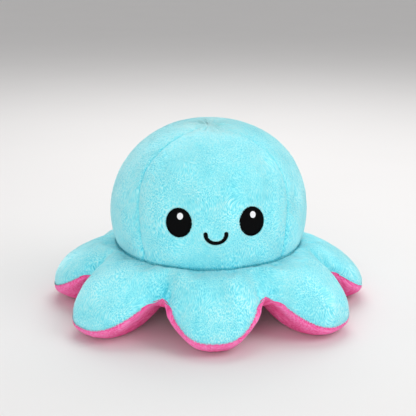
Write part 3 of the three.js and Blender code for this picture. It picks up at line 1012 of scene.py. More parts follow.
@dataclass(frozen=True)
class Face:
    """Two embroidered eyes with their glints, and an embroidered smile."""

    form: HeadForm = HeadForm()
    eye_width: float = 0.0328
    eye_height: float = 0.0360
    eye_level: float = 0.1377
    eye_spread: float = math.radians(20.3)
    eye_lean: float = math.radians(6)
    eye_insets: tuple[float, ...] = (0.0005, 0.0011, 0.0003, 0.0003, 0.0012, 0.0025, 0.003, 0.003)
    eye_rings: Pairs = ((0.5, 0.0001), (0.82, 0.0), (0.885, -0.0004), (0.905, -0.0008), (0.96, 0.0002),
                        (1.01, -0.0005))
    eye_border: float = 0.89
    glint_width: float = 0.0076
    glint_height: float = 0.0084
    glint_aside: float = 0.0014
    glint_above: float = 0.0078
    glint_insets: tuple[float, ...] = (0.0004, 0.0008, 0.0012)
    glint_rings: Pairs = ((0.4, 0.0001), (0.9, 0.0), (1.01, -0.0004))
    glint_lift: float = 0.0004
    mouth_width: float = 0.0244
    mouth_depth: float = 0.011
    mouth_stroke: float = 0.0056
    mouth_level: float = 0.1254
    mouth_rings: Pairs = ((0.2, 0.0001), (0.5, 0.0), (0.8, -0.0001), (1.05, -0.0005))
    thread_lift: float = -0.0006
    thread_height: float = 0.0012
    press_depth: float = 0.0009
    press_reach: float = 0.03
    lip_height: float = 0.0008
    lip_width: float = 0.0032
    lip_overlap: float = 0.0008
    lip_root: float = 0.0004
    lip_length: float = 0.0022
    lip_end_width: float = 0.0010
    lip_seed: int = 401

    def eye(self, side: Side) -> Motif:
        """Where an eye lies."""
        return Motif(side.value * self.eye_spread, self.eye_level, -side.value * self.eye_lean)

    @property
    def mouth(self) -> Motif:
        """Where the smile lies."""
        return Motif(0, self.mouth_level)

    def press(self, points: Array) -> Array:
        """How far points of the head are from the nearest embroidery's edge, negative under it."""
        nearest = np.full(points.shape[:-1], 1.0)
        for side in Side:
            flat = self.eye(side).flat(self.form, points)
            share = oval_share(flat, self.eye_width, self.eye_height)
            away = np.where(flat[..., 2] < -self.press_reach, 1.0, (share - 1) * self.eye_width / 2)
            nearest = np.minimum(nearest, away)
        flat = self.mouth.flat(self.form, points)
        close = (np.hypot(flat[..., 0], flat[..., 1]) < self.press_reach) & (flat[..., 2] > -self.press_reach)
        path = ellipse(np.linspace(math.pi, 2 * math.pi, 48), self.mouth_width / 2, self.mouth_depth)
        away = np.linalg.norm(flat[close][:, None, :2] - path[None], axis=-1).min(axis=1) - self.mouth_stroke / 2
        nearest[close] = np.minimum(nearest[close], away)
        return nearest

    def edges(self) -> list[tuple[Motif, Array, Array]]:
        """Edges of all the black embroidery: where each lies, its flat points and the ways inwards."""
        full = np.linspace(0, 2 * math.pi, 120, endpoint=False)
        half = np.linspace(math.pi, 2 * math.pi, 40)
        found = [(self.eye(side), ellipse(full, self.eye_width / 2, self.eye_height / 2), -ellipse(full))
                 for side in Side]
        for sign in (-1, 1):
            path = ellipse(half, (self.mouth_width + sign * self.mouth_stroke) / 2,
                           self.mouth_depth + sign * self.mouth_stroke / 2)
            found.append((self.mouth, path, -sign * ellipse(half)))
        return found

    def lip(self, cloths: Cloths) -> Piece:
        """Builds the ends of pile that lie over the edges of the embroidery."""
        roots, ways, outs = [], [], []
        for motif, path, inwards in self.edges():
            frame_of = np.array(motif.frame(self.form))
            flat = np.concatenate([path - inwards * self.lip_overlap, np.zeros((len(path), 1))], -1)
            placed = flat @ frame_of[:3, :3].T + frame_of[:3, 3]
            direction = unit((placed - UP * self.form.centre) / self.form.axes)
            outs.append(self.form.outward(direction))
            roots.append(self.form.stretched(direction) + outs[-1] * self.lip_root)
            ways.append(np.concatenate([inwards, np.full((len(path), 1), 0.5)], -1) @ frame_of[:3, :3].T)
        roots, ways, outs = (np.concatenate(parts) for parts in (roots, ways, outs))
        # A pile value of 0.3 paints the lip paler, as a highlight round the embroidery's edges.
        fringe = Fringe("face_lip", roots, unit(ways), outs, np.full(len(roots), 0.3), self.lip_length,
                        self.lip_end_width, self.lip_seed)
        return sew_to_body(fringe.build(), cloths, Slot.AQUA)

    def ball(self) -> Piece:
        """Adds the plain ball of the head, for the embroidery to be laid on."""
        bpy.ops.mesh.primitive_uv_sphere_add(segments=256, ring_count=128, radius=1,
                                             location=(0, 0, self.form.centre))
        made = bpy.context.active_object
        made.scale = self.form.axes
        apply_place()
        return made

    def pick(self, made: Piece, chosen: Array, edges: bool = False) -> None:
        """Selects points of a mesh for edit mode, and where asked the edges between them."""
        ends = np.zeros(2 * len(made.data.edges), np.int32)
        made.data.edges.foreach_get("vertices", ends)
        made.data.vertices.foreach_set("select", chosen)
        made.data.edges.foreach_set("select", chosen[ends.reshape(-1, 2)].all(axis=1) & edges)
        made.data.polygons.foreach_set("select", [False] * len(made.data.polygons))
        bpy.ops.object.mode_set(mode="EDIT")
        bpy.ops.mesh.select_mode(type="EDGE" if edges else "VERT")

    def settle(self, made: Piece, rings: Pairs, share: Array) -> None:
        """Rounds a piece's front by drawing lines of its points in or out.

        Args:
            made: The piece, with its front points first.
            rings: For each line, its highest share and how far it moves out.
            share: At each front point, how far out from the middle it lies, up to 1 at the edge.
        """
        lowest = -1.0
        for highest, move in rings:
            chosen = np.zeros(len(made.data.vertices), bool)
            chosen[:len(share)] = (lowest < share) & (share <= highest)
            self.pick(made, chosen)
            bpy.ops.transform.shrink_fatten(value=move)
            bpy.ops.object.mode_set(mode="OBJECT")
            lowest = highest
        modified(made, "SUBSURF", levels=2, render_levels=2)
        bpy.ops.object.shade_smooth()

    def sew(self, made: Piece, ball: Piece, cloths: Cloths, stitches: Stitches, run: Array, share: Array) -> Piece:
        """Lays a flat piece on the head, gives it its height and lets it stand for its node.

        Args:
            made: The flat piece, at the origin.
            ball: The head's plain ball.
            cloths: The materials.
            stitches: How it is sewn.
            run: How the thread runs at each point.
            share: At each point, how far out from the middle it lies, up to 1 at the edge.

        Returns:
            The piece.
        """
        keep_map(made.data, "thread", run)
        made.matrix_world = stitches.motif.frame(self.form)
        apply_place()
        modified(made, "SHRINKWRAP", target=ball, wrap_method="NEAREST_SURFACEPOINT", offset=stitches.lift,
                 wrap_mode="ABOVE_SURFACE")
        modified(made, "SOLIDIFY", thickness=stitches.height, offset=1)
        self.settle(made, stitches.rings, share)
        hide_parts(stitches.node)
        return sew_to_body(made, cloths, stitches.slot)

    def disc(self, name: str, sides: int, radius: float) -> Piece:
        """Cuts a flat disc and opens it for its rings to be cut."""
        bpy.ops.object.select_all(action="DESELECT")
        bpy.ops.mesh.primitive_circle_add(vertices=sides, radius=radius, fill_type="NGON", location=(0, 0, 0))
        made = bpy.context.active_object
        made.name = made.data.name = f"{name}_stitched"
        return made

    def cut_rings(self, insets: tuple[float, ...]) -> None:
        """Cuts rings into the active disc, each inset from the one outside it, and stays in edit mode."""
        bpy.ops.object.mode_set(mode="EDIT")
        bpy.ops.mesh.select_all(action="SELECT")
        for inset in insets:
            bpy.ops.mesh.inset(thickness=inset, depth=0)

    def oval(self, name: str, width: float, height: float, sides: int, insets: tuple[float, ...]) -> Piece:
        """Cuts a flat oval of rings."""
        made = self.disc(name, sides, 0.5)
        made.scale = (width, height, 1)
        apply_place()
        self.cut_rings(insets)
        bpy.ops.mesh.poke()
        bpy.ops.object.mode_set(mode="OBJECT")
        return made

    def points_of(self, made: Piece) -> Array:
        """The points of a mesh."""
        places = np.zeros(len(made.data.vertices) * 3)
        made.data.vertices.foreach_get("co", places)
        return places.reshape(-1, 3)

    def eye_pad(self, side: Side, ball: Piece, cloths: Cloths) -> Piece:
        """Embroiders an eye: a filled oval inside a satin border."""
        name = f"eye_{side.name.lower()}"
        made = self.oval(name, self.eye_width, self.eye_height, 64, self.eye_insets)
        flat = self.points_of(made)
        share = oval_share(flat, self.eye_width, self.eye_height)
        round_edge = np.arctan2(flat[:, 1], flat[:, 0]) * self.eye_width / 2
        run = np.stack([np.where(share > self.eye_border, round_edge, flat[:, 0]), flat[:, 1]], -1)
        stitches = Stitches(name, Slot.BLACK, self.eye(side), self.eye_rings, self.thread_lift, self.thread_height)
        return self.sew(made, ball, cloths, stitches, run, share)

    def glint(self, side: Side, ball: Piece, cloths: Cloths) -> Piece:
        """Embroiders the white glint on an eye."""
        name = f"glint_{side.name.lower()}"
        made = self.oval(name, self.glint_width, self.glint_height, 32, self.glint_insets)
        flat = self.points_of(made)
        place = Motif(side.value * self.eye_spread, self.eye_level, 0, self.glint_aside, self.glint_above)
        stitches = Stitches(name, Slot.WHITE, place, self.glint_rings, self.glint_lift, self.thread_height * 0.7)
        share = oval_share(flat, self.glint_width, self.glint_height)
        return self.sew(made, ball, cloths, stitches, flat[:, :2], share)

    def smile(self, ball: Piece, cloths: Cloths) -> Piece:
        """Embroiders the smile: a ribbon cut from a ring of stitches, with rounded ends."""
        half, outer = self.mouth_width / 2, self.mouth_stroke / 2
        made = self.disc("mouth", 72, half + outer)
        self.cut_rings((self.mouth_stroke / 6,) * 6)
        bpy.ops.mesh.delete(type="FACE")
        bpy.ops.mesh.select_all(action="SELECT")
        bpy.ops.mesh.bisect(plane_co=(0, 0, 0), plane_no=(0, 1, 0), clear_outer=True)
        bpy.ops.object.mode_set(mode="OBJECT")
        made.scale = (1, self.mouth_depth / half, 1)
        apply_place()
        for end in (-half, half):
            self.round_end(made, end, outer)
        flat = self.points_of(made)
        down = flat[:, 1] * half / self.mouth_depth
        path = np.hypot(flat[:, 0], down)
        share = np.abs(path - half) / outer
        top = flat[:, 1] > 1e-6
        share[top] = np.hypot(np.abs(flat[top, 0]) - half, flat[top, 1]) / outer
        run = np.stack([np.arctan2(down, flat[:, 0]) * half, path], -1)
        stitches = Stitches("mouth", Slot.BLACK, self.mouth, self.mouth_rings, self.thread_lift, self.thread_height)
        return self.sew(made, ball, cloths, stitches, run, share)

    def round_end(self, made: Piece, end: float, radius: float) -> None:
        """Draws one end of the smile's ribbon out to a half round."""
        done, wide = 0.0, 1.0
        turns = [math.pi / 8 * step for step in (1, 2, 3)]
        for width, share in [*((math.cos(turn), math.sin(turn)) for turn in turns), (0.2, 0.97)]:
            height = radius * share
            flat = self.points_of(made)
            self.pick(made, (np.abs(flat[:, 1] - done) < 1e-6) & (np.abs(flat[:, 0] - end) < radius * 1.01), True)
            bpy.ops.mesh.extrude_edges_move(TRANSFORM_OT_translate={"value": (0, height - done, 0)})
            bpy.ops.transform.resize(value=(width / wide, 1, 1), center_override=(end, height, 0))
            bpy.ops.object.mode_set(mode="OBJECT")
            done, wide = height, width

    def build(self, cloths: Cloths) -> list[Piece]:
        """Embroiders the whole face."""
        ball = self.ball()
        made = [make(side, ball, cloths) for side in Side for make in (self.eye_pad, self.glint)]
        made.append(self.smile(ball, cloths))
        bpy.data.objects.remove(ball)
        return [*made, self.lip(cloths)]


@dataclass(frozen=True)
class Head:
    """The four gores of the head and the four that line the hollow."""

    form: HeadForm = HeadForm()
    hollow: HollowForm = HollowForm()
    face: Face = Face()
    filling: Filling = Filling(slack=0.004, most=0.0022)
    pile: Pile = Pile()
    columns: int = 160
    rows: int = 190
    coarse_columns: int = 26
    coarse_rows: int = 32
    lining_columns: int = 60
    lining_rows: int = 80
    pucker: float = 0.0013
    ripple: float = 0.0010
    ripple_length: float = 0.0042
    ripple_reach: float = 0.011
    lump: float = 0.0030
    lump_width: float = math.radians(25)
    lump_azimuth: float = math.radians(88)
    lump_level: float = math.radians(42)
    top_slack: float = 0.7
    top_heights: Band = (0.185, 0.225)
    quiet_seam: float = 0.6
    quiet_start: Band = (0.2, 0.5)
    quiet_end: Band = (1.4, 1.8)
    quiet_heights: Band = (0.130, 0.185)
    back_quiet_seam: float = 0.9
    back_start: Band = (1.5, 1.9)
    back_heights: Band = (0.185, 0.215)
    # Weights and lengths of the painted shade at the seams and crease, and of the painted highlights round the
    # embroidery and the crown.
    seam_shade: Band = (0.7, 0.0015)
    crease_shade: Band = (0.9, 0.0030)
    lip_painted_highlight: float = 0.6
    crown_painted_highlight: float = 1.2
    fringe_step: float = 0.0014
    fringe_length: float = 0.0042
    fringe_width: float = 0.0014
    fringe_seeds: tuple[int, int] = (31, 71)

    def plain(self, gore: int, columns: int, rows: int) -> tuple[Array, Array, Array]:
        """Points of a gore on the plain ball of the head.

        Args:
            gore: Number of the gore.
            columns: How many columns it has, less one.
            rows: How many rows it has from the crease up to the crown, less one.

        Returns:
            The points, the directions out of the ball there, and how far from the nearest seam they are.
        """
        even = np.linspace(0, 1, columns + 1)
        across = 0.5 * even + 0.25 - 0.25 * np.cos(np.pi * even)
        share = np.linspace(0.0004, 1 - self.form.crown_knot / 0.24, rows + 1)
        left, right = self.form.seam_azimuth(gore - 1, share), self.form.seam_azimuth(gore, share)
        azimuth = left[:, None] + (right - left)[:, None] * across[None, :]
        direction = self.form.climb(azimuth, np.broadcast_to(share[:, None], azimuth.shape))
        points = self.form.stretched(direction)
        width = np.linalg.norm(points[:, -1] - points[:, 0], axis=-1)[:, None]
        return points, self.form.outward(direction), np.minimum(across, 1 - across)[None, :] * width

    def moves(self, gore: int) -> Array:
        """How far the filling swells a gore between its seams, at each of its points."""
        points, _, _ = self.plain(gore, self.coarse_columns, self.coarse_rows)
        held = np.zeros(points.shape[:2], bool)
        held[[0, -1], :] = held[:, [0, -1]] = True
        moves = self.filling.swell(f"head_gore_{GORE_NAMES[gore]}_sheet", points, held, 1)
        return densified(moves, np.linspace(0, self.coarse_rows, self.rows + 1),
                         np.linspace(0, self.coarse_columns, self.columns + 1))

    def seam_strength(self, plain: Array) -> Array:
        """Share of the seams' depth at each point: all but the left front one are faint high up."""
        azimuth, height = azimuth_of(plain), plain[..., 2]
        right = smoothstep(azimuth, *self.quiet_start) * (1 - smoothstep(azimuth, *self.quiet_end))
        high = smoothstep(height, *self.quiet_heights)
        behind = smoothstep(np.abs(azimuth), *self.back_start) * smoothstep(height, *self.back_heights)
        return 1 - np.maximum(self.quiet_seam * right * high, self.back_quiet_seam * behind)

    def puckers(self, plain: Array) -> Array:
        """Folds that run out from the crown's knot."""
        distance, turn = self.form.round_crown(plain)
        near = bell(distance, 0.011, 0.016) * smoothstep(distance, 0.003, 0.010)
        folds = np.sin(11 * turn + 1.3 * np.sin(2 * turn)) + 0.6 * np.sin(19 * turn + 2 * np.sin(3 * turn + 1))
        return self.pucker * near * folds

    def seam_drawn(self, plain: Array, seam: Array) -> Array:
        """How far the seams draw the cloth in, and the ripples beside them."""
        distance, turn = self.form.round_crown(plain)
        run = run_length(plain, 0)
        level = smoothstep(run, 0, 0.015)
        strength = self.seam_strength(plain) * smoothstep(distance, 0.004, 0.022)
        ripples = tufts(np.stack([(run + 0.9 * seam) / self.ripple_length, turn, seam / 0.02], -1), 1, 61)
        beside = faded(seam, self.ripple, self.ripple_reach) * smoothstep(seam, 0, 0.002)
        return (self.form.seam_draw(seam) * (0.25 + 0.75 * level) + ripples * beside * level) * strength

    def drawn(self, plain: Array, seam: Array) -> Array:
        """How far the crown's knot, the seams and the embroidery draw the cloth in."""
        distance, _ = self.form.round_crown(plain)
        pressed = self.face.press(plain)
        return (self.form.crown_dip * bell(distance, self.form.crown_spread)
                + self.seam_drawn(plain, seam) + self.puckers(plain)
                + self.face.press_depth * (1 - smoothstep(pressed, -0.0004, 0.0010))
                - self.face.lip_height * bell(pressed, 0.0012, 0.0018))

    def lumped(self, outward: Array) -> Array:
        """How far the filling presses the head out a little more, up on its right."""
        middle = swing(self.lump_azimuth, math.cos(self.lump_level), math.sin(self.lump_level))
        return self.lump * bell(np.arccos(np.clip(outward @ middle, -1, 1)), self.lump_width)

    def fringe(self, gore: int, points: Array, normals: Array) -> Piece:
        """Builds the fringe of a gore that stands over the crease below it."""
        place_seed, seed = (start + gore for start in self.fringe_seeds)
        picked = along_line(points[3], self.fringe_step, place_seed)
        outs = unit(between(normals[10], picked))
        ways = unit(0.75 * outs * LEVEL - UP * 0.8)
        # A pile value of -0.8 paints the fringe darker, as shade in the crease.
        return Fringe(f"head_gore_{GORE_NAMES[gore]}_fringe", between(points[3], picked), ways, outs,
                      np.full(len(outs), -0.8), self.fringe_length, self.fringe_width, seed).build()

    def gore(self, gore: int, cloths: Cloths) -> list[Piece]:
        """Builds a gore with its pile, and its fringe."""
        plain, outward, seam = self.plain(gore, self.columns, self.rows)
        kept = 1 - self.top_slack * smoothstep(plain[..., 2], *self.top_heights)
        points = (plain + self.moves(gore) * kept[..., None]
                  + outward * (self.lumped(outward) - self.drawn(plain, seam))[..., None])
        normals = grid_normals(points)
        pressed = self.face.press(points)
        run = run_length(points, 0)
        grown = unit(outward + (normals - outward) * smoothstep(seam, 0, 0.003)[..., None])
        points, pile = self.pile.grow(points, grown, run, smoothstep(pressed, 0, self.face.lip_width))
        crown, _ = self.form.round_crown(points)
        # Painted shade and highlights in the pile value: darker along the seams and at the crease, paler just outside
        # the embroidery's edges and round the crown.
        sewn = self.seam_strength(plain) * smoothstep(crown, 0.010, 0.024)
        pile = pile - sewn * faded(seam, *self.seam_shade) + self.lip_painted_highlight * bell(pressed, 0.0009, 0.0012)
        pile = pile - faded(run, *self.crease_shade) + self.crown_painted_highlight * bell(crown, self.form.crown_spread)
        azimuth = azimuth_of(points)
        if GORE_NAMES[gore] == "back":
            azimuth = np.where(azimuth < 0, azimuth + 2 * math.pi, azimuth)
        nap = np.stack([self.form.radius * azimuth, run], -1)
        name = f"head_gore_{GORE_NAMES[gore]}"
        piece = Cover(f"{name}_plush", points, normals, 1, nap, pile, edge_thickness=0.002).build()
        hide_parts(name, "head_stuffing")
        return [sew_to_body(made, cloths, Slot.AQUA) for made in (piece, self.fringe(gore, points, normals))]

    def lining(self, gore: int, cloths: Cloths) -> Piece:
        """Builds a gore of the lining, with its pile towards the hollow."""
        name = f"lining_gore_{GORE_NAMES[gore]}"
        share = np.linspace(0, 0.996, self.lining_rows + 1)[:, None]
        across = np.linspace(-0.5, 0.5, self.lining_columns + 1)[None, :]
        azimuth, share = np.broadcast_arrays(math.pi / 2 * (gore + across) + self.form.turn, share)
        points = self.hollow.wall(azimuth, share)
        seam = (0.5 - np.abs(across)) * math.pi / 2 * np.hypot(points[..., 0], points[..., 1])
        normals = -grid_normals(points)
        points = points - normals * (0.4 * self.form.seam_draw(seam))[..., None]
        run = run_length(points, 0)
        nap = np.stack([self.hollow.radius * azimuth, run], -1)
        points, pile = self.pile.grow(points, normals, run, 1.0)
        piece = Cover(f"{name}_plush", points, normals, -1, nap, pile, edge_thickness=0.002).build()
        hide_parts(name)
        return sew_to_body(piece, cloths, Slot.PINK)

    def build(self, cloths: Cloths) -> list[Piece]:
        """Builds all eight gores."""
        gores = range(len(GORE_NAMES))
        made = [piece for gore in gores for piece in self.gore(gore, cloths)]
        return made + [self.lining(gore, cloths) for gore in gores]


@dataclass(frozen=True)
class Layer:
    """The top or the underside of all the arms, side by side round the ring."""

    points: Array
    normals: Array
    nap: Array
    pile: Array
    edge: Array

    def hemmed(self, hems: dict[float, Array]) -> "Layer":
        """Puts the lines of a hem before the first row, each keyed by how far before it on the nap, with a pile value
        one lower, painted shade where the hem goes in.
        """
        return Layer(np.concatenate([*hems.values(), self.points]),
                     np.concatenate([self.normals[:1]] * len(hems) + [self.normals]),
                     np.concatenate([self.nap[:1] - before for before in hems] + [self.nap]),
                     np.concatenate([self.pile[:1] - 1] * len(hems) + [self.pile]), self.edge)


@dataclass(frozen=True)
class Skirt:
    """The tops and undersides of the eight arms, each from the head or the hem to the tip."""

    form: SkirtForm = SkirtForm()
    filling: Filling = Filling(slack=0.014, most=0.0040)
    pile: Pile = Pile()
    columns: int = 110
    top_rows: int = 98
    under_rows: int = 89
    coarse_columns: int = 16
    coarse_rows: int = 14
    margin: int = 3
    bend_start: float = 0.149
    bend_end: float = 0.177
    bend_height: float = 0.05
    fold_groove: float = 0.0044
    fold_width: float = 0.014
    fold_gather: float = 0.0022
    # Painted shade in each fold between two arms, starting at the front arm's right fold: lightest there and darkest
    # at its left fold.
    fold_shades: tuple[float, ...] = (0.35, *(0.7,) * 6, 1.0)
    corner_lift: float = 0.0024
    corner_spread: float = 0.007
    tip_roll: float = 0.0014
    flank_roll: float = 0.0062
    roll_run: float = 0.022
    seam_allowance: float = 0.0030
    bare_share: float = 0.13
    corner_drop: float = 0.0110
    corner_inset: float = 0.003
    bead: float = 0.0024
    bead_run: float = 0.008
    nap_radius: float = 0.16
    groove_run: Band = (0.010, 0.055)
    valley_run: Band = (0.015, 0.045)
    web_start: Band = (0.005, 0.012)
    web_end: Band = (0.012, 0.040)
    pile_height: float = 0.004
    pile_run: float = 0.0015
    # Weights and lengths of the painted shade at the side seam, at the crease and just under the seam.
    seam_shade: Band = (0.2, 0.001)
    crease_shade: Band = (0.8, 0.003)
    tuck_shade: Band = (0.8, 0.002)
    top_hems: tuple[tuple[float, float, float], ...] = ((0.004, -0.0045, 0.0030), (0.002, -0.0024, -0.0004))
    under_hem: float = 0.003
    fringe_steps: tuple[float, float] = (0.0008, 0.0014)
    fringe_length: float = 0.0023
    fringe_width: float = 0.0009
    fringe_seeds: tuple[int, int, int] = (101, 201, 301)
    corner_rolls: Pairs = ((0.0046, 0.0044), *((0, 0),) * 7)
    roll_shares: Pairs = ((1.6, 1.1), (0.75, 1), *((1, 1),) * 5, (1, 0.2))

    def even_rows(self, upper: bool, rows: int) -> Array:
        """Shares of the profile's curve at even steps along the middle of the front arm."""
        share = np.linspace(0, 1, 400)
        line = self.form.surface(0, np.array([0.0]), share, upper)[:, 0]
        along = run_length(line[:, None], 0)[:, 0]
        return np.interp(np.linspace(0, along[-1], rows + 1), along, share)

    def plain(self, upper: bool, columns: int, rows: int) -> Array:
        """Points of the top or the underside of all the arms, with a number of columns for each arm."""
        across = np.linspace(-1, 1, columns + 1)[:-1]
        along = self.even_rows(upper, rows)
        return np.concatenate([self.form.surface(arm, across, along, upper) for arm in range(len(ARM_NAMES))], axis=1)

    def moves(self) -> dict[bool, Array]:
        """How far the filling swells the tops and the undersides, on a coarse grid."""
        top, under = (self.plain(upper, self.coarse_columns, self.coarse_rows) for upper in (True, False))
        grid = np.concatenate([top, under[1:]])
        held = np.zeros(grid.shape[:2], bool)
        held[[0, self.coarse_rows, -1]] = True
        held |= grid[..., 2] < 0.001
        moves = self.filling.swell("skirt_sheet", grid, held, -1, ring=True)
        return {True: moves[:self.coarse_rows + 1], False: moves[self.coarse_rows:]}

    def swollen(self, moves: Array, upper: bool, rows: int) -> Array:
        """Points of the top or the underside of all the arms, swelled by coarse moves."""
        columns = np.arange(self.columns * len(ARM_NAMES)) * self.coarse_columns / self.columns
        dense = densified(moves, np.linspace(0, self.coarse_rows, rows + 1), columns, True)
        return self.round(self.plain(upper, self.columns, rows) + dense, 1)

    def round(self, made: Array, axis: int) -> Array:
        """Adds some of the first and last columns at the other end."""
        total = made.shape[axis]
        return np.take(made, range(-self.margin, total + self.margin + 1), axis=axis, mode="wrap")

    def outward_of_seam(self, seam: Array) -> tuple[Array, Array]:
        """Level directions out of the side seam, and how far the seam runs out from the head there."""
        level = unit(np.cross(np.gradient(seam, axis=0), UP))
        return level, 1 - np.abs(np.sum(level * unit(seam * LEVEL), axis=-1))

    def across(self) -> Array:
        """Where each column of the fine grid lies across its arm, from -1 to 1."""
        return self.round(np.tile(np.linspace(-1, 1, self.columns + 1)[:-1], len(ARM_NAMES)), 0)

    def from_fold(self, points: Array) -> Array:
        """Distance of each point round the skirt from the nearest fold between two arms."""
        return (1 - np.abs(self.across()))[None, :] * self.form.pitch / 2 * np.hypot(points[..., 0], points[..., 1])

    def sharpened(self, points: Array, seam: Array) -> Array:
        """Points with the side seam drawn up to a point at each fold."""
        lift = faded(self.from_fold(points), self.corner_lift, self.corner_spread) * bell(seam, 0.012)
        return points + UP * lift[..., None]

    def gathered(self, points: Array, seam: Array, run: Array) -> tuple[Array, Array]:
        """Draws the top in at the folds between the arms and gathers it round their corners.

        Args:
            points: The top of all the arms.
            seam: Distance of each point from the side seam.
            run: Distance of each point from the crease.

        Returns:
            How far each point is drawn in, and how much its pile value is lowered: painted shade in the fold valleys,
            and painted shade and highlights along the gathers.
        """
        fold = self.from_fold(points)
        groove = bell(fold, self.fold_width) * smoothstep(run, *self.groove_run)
        turn = np.arctan2(fold, seam + 0.001) + 0.15 * tufts(points, 0.012, 83)
        gathers = np.exp(-np.hypot(fold, seam) / 0.014) * np.cos(10 * turn) * smoothstep(seam, 0.003, 0.009)
        # Painted shade and highlights: the fold valleys are painted darker, and the gathers darker in their grooves
        # and paler on their ridges.
        valley = bell(fold, 0.010) * smoothstep(run, *self.valley_run) * smoothstep(seam, 0, 0.004)
        low = valley * self.fold_shade() + 0.5 * gathers
        return self.fold_groove * groove + self.fold_gather * gathers, low

    def fold_shade(self) -> Array:
        """How strongly painted shade darkens the nearest fold of each column."""
        shades = np.array(self.fold_shades)
        both = np.stack([np.roll(shades, 1), shades], -1).ravel()
        return self.round(np.repeat(both, self.columns // 2), 0)

    def layer(self, points: Array, run: Array, seam: Array, edge: Array) -> Layer:
        """Grows the pile of a top or an underside, but not on the floor or at the side seam."""
        normals = -grid_normals(points)
        keep = smoothstep(points[..., 2], FLOOR_GAP, self.pile_height) * smoothstep(seam, 0, self.pile_run)
        grown, pile = self.pile.grow(points, normals, run, keep)
        azimuth = np.unwrap(azimuth_of(grown[-1]))
        nap = np.stack(np.broadcast_arrays(self.nap_radius * azimuth[None, :], run), -1)
        return Layer(grown, normals, nap, pile, edge)

    def top(self, moves: Array) -> Layer:
        """Forms the tops of all the arms, with a hem that goes up inside the head."""
        points = self.swollen(moves, True, self.top_rows)
        run = run_length(points, 0)
        seam = run[-1:] - run
        drawn, low = self.gathered(points, seam, run)
        points = self.sharpened(points + grid_normals(points) * drawn[..., None], seam)
        made = self.layer(points, run, seam, points[-1])
        # Painted shade in the pile value: darker at the side seam and at the crease, and in the folds and gathers as
        # gathered paints them.
        pile = made.pile - faded(seam, *self.seam_shade) - faded(run, *self.crease_shade) - low
        crease = made.points[:1]
        hems = {before: crease + unit(crease * LEVEL) * out + UP * up
                for before, out, up in self.top_hems}
        return replace(made, pile=pile).hemmed(hems)

    def by_side(self, table: Pairs) -> Array:
        """Values of a table of the arms' left and right sides at each column, blended over the arm's middle."""
        sides = self.round(np.repeat(np.array(table, float), self.columns, axis=0), 0)
        return sides[:, 0] + (sides[:, 1] - sides[:, 0]) * smoothstep(self.across(), -0.3, 0.3)

    def rolled_out(self, run: Array, flank: Array, corner: Array, web: Array) -> Array:
        """How far the underside rolls out from under the side seam.

        Args:
            run: Distance of each point from the side seam.
            flank: How far the seam runs out from the head at each column.
            corner: How near each column is to a fold.
            web: How much of each point is the web behind a fold.

        Returns:
            The distance at each point.
        """
        share = np.clip(run / self.roll_run, 0, 1)
        rolled = self.tip_roll + self.flank_roll * flank * self.by_side(self.roll_shares)
        rolled += self.by_side(self.corner_rolls) * bell(np.abs(self.across()), 0.16, 0.78)
        out = 6.75 * share * (1 - share) ** 2 * rolled[None, :]
        return out + (self.bead * corner * np.sin(np.pi * np.clip(run / self.bead_run, 0, 1))
                      - self.corner_inset * web)

    def underside(self, moves: Array, edge: Array) -> Layer:
        """Forms the undersides of all the arms, rolled outwards below a hem behind the side seam.

        Args:
            moves: How far the filling swells them.
            edge: Where the tops end, which is where the undersides start.

        Returns:
            The layer, with its hem first.
        """
        points = self.swollen(moves, False, self.under_rows)
        run = run_length(points, 0)
        level, flank = self.outward_of_seam(points[0])
        corner = bell(1 - np.abs(self.across()), 0.12)[None, :]
        web = corner * smoothstep(run, *self.web_start) * (1 - smoothstep(run, *self.web_end))
        points = points + (edge - points[0])[None] * bell(run, 0.012)[..., None]
        points = points + level[None] * self.rolled_out(run, flank, corner, web)[..., None]
        points[..., 2] -= self.corner_drop * web
        made = self.layer(points, run, run, edge)
        points = made.points
        points[..., 2] = np.maximum(points[..., 2], FLOOR_GAP)
        # Painted shade and highlight in the pile value: darker just under the side seam, a paler band along the roll,
        # darker further under the arm and darkest behind the folds' corners.
        pile = made.pile - faded(run, *self.tuck_shade) + 0.5 * bell(run, 0.004, 0.006)
        pile = pile - 0.4 * smoothstep(run, 0.012, 0.022) - 0.8 * corner * smoothstep(run, 0.005, 0.010)
        allowance = self.seam_allowance * (1 - 0.85 * corner[..., None])
        hem = points[:1] + (UP * 0.3 - level[None]) * allowance
        return replace(made, pile=pile).hemmed({self.under_hem: hem})

    def fringe(self, arm: int, top: Layer, under: Layer) -> Piece:
        """Builds the ends of pile that stand over an arm's side seam, and over the crease."""
        mine = self.share(arm)
        points, normals = top.points[:, mine], top.normals[:, mine]
        below, outwards = under.points[:, mine], under.normals[:, mine]
        clear = int(self.columns * self.bare_share)
        low_seed, high_seed, seed = (start + arm for start in self.fringe_seeds)
        low = along_line(points[-1, clear:-clear], self.fringe_steps[0], low_seed)
        high = along_line(points[4], self.fringe_steps[1], high_seed)
        low = (low[0] + clear, low[1])
        raised = unit(unit(between(points[4], high) * LEVEL) + UP)
        outs = np.concatenate([between(outwards[3], low), raised])
        down, inwards = between(below[4] - below[1], low), between(points[3] - points[5], high)
        ways = np.concatenate([unit(unit(down) + 0.15 * between(outwards[3], low)),
                               unit(unit(inwards) + 0.6 * between(normals[4], high))])
        roots = np.concatenate([between(points[-1], low), between(points[4], high)]) + outs * 0.0002
        # The fringes over the crease get a pile value of -0.85, which paints them darker as shade; those over the
        # side seam keep 0.
        height = np.repeat([0.0, -0.85], [len(low[0]), len(high[0])])
        return Fringe(f"arm_{ARM_NAMES[arm]}_fringe", roots, ways, outs, height, self.fringe_length,
                      self.fringe_width, seed).build()

    def share(self, arm: int) -> slice:
        """The columns of an arm."""
        first = self.margin + arm * self.columns
        return slice(first, first + self.columns + 1)

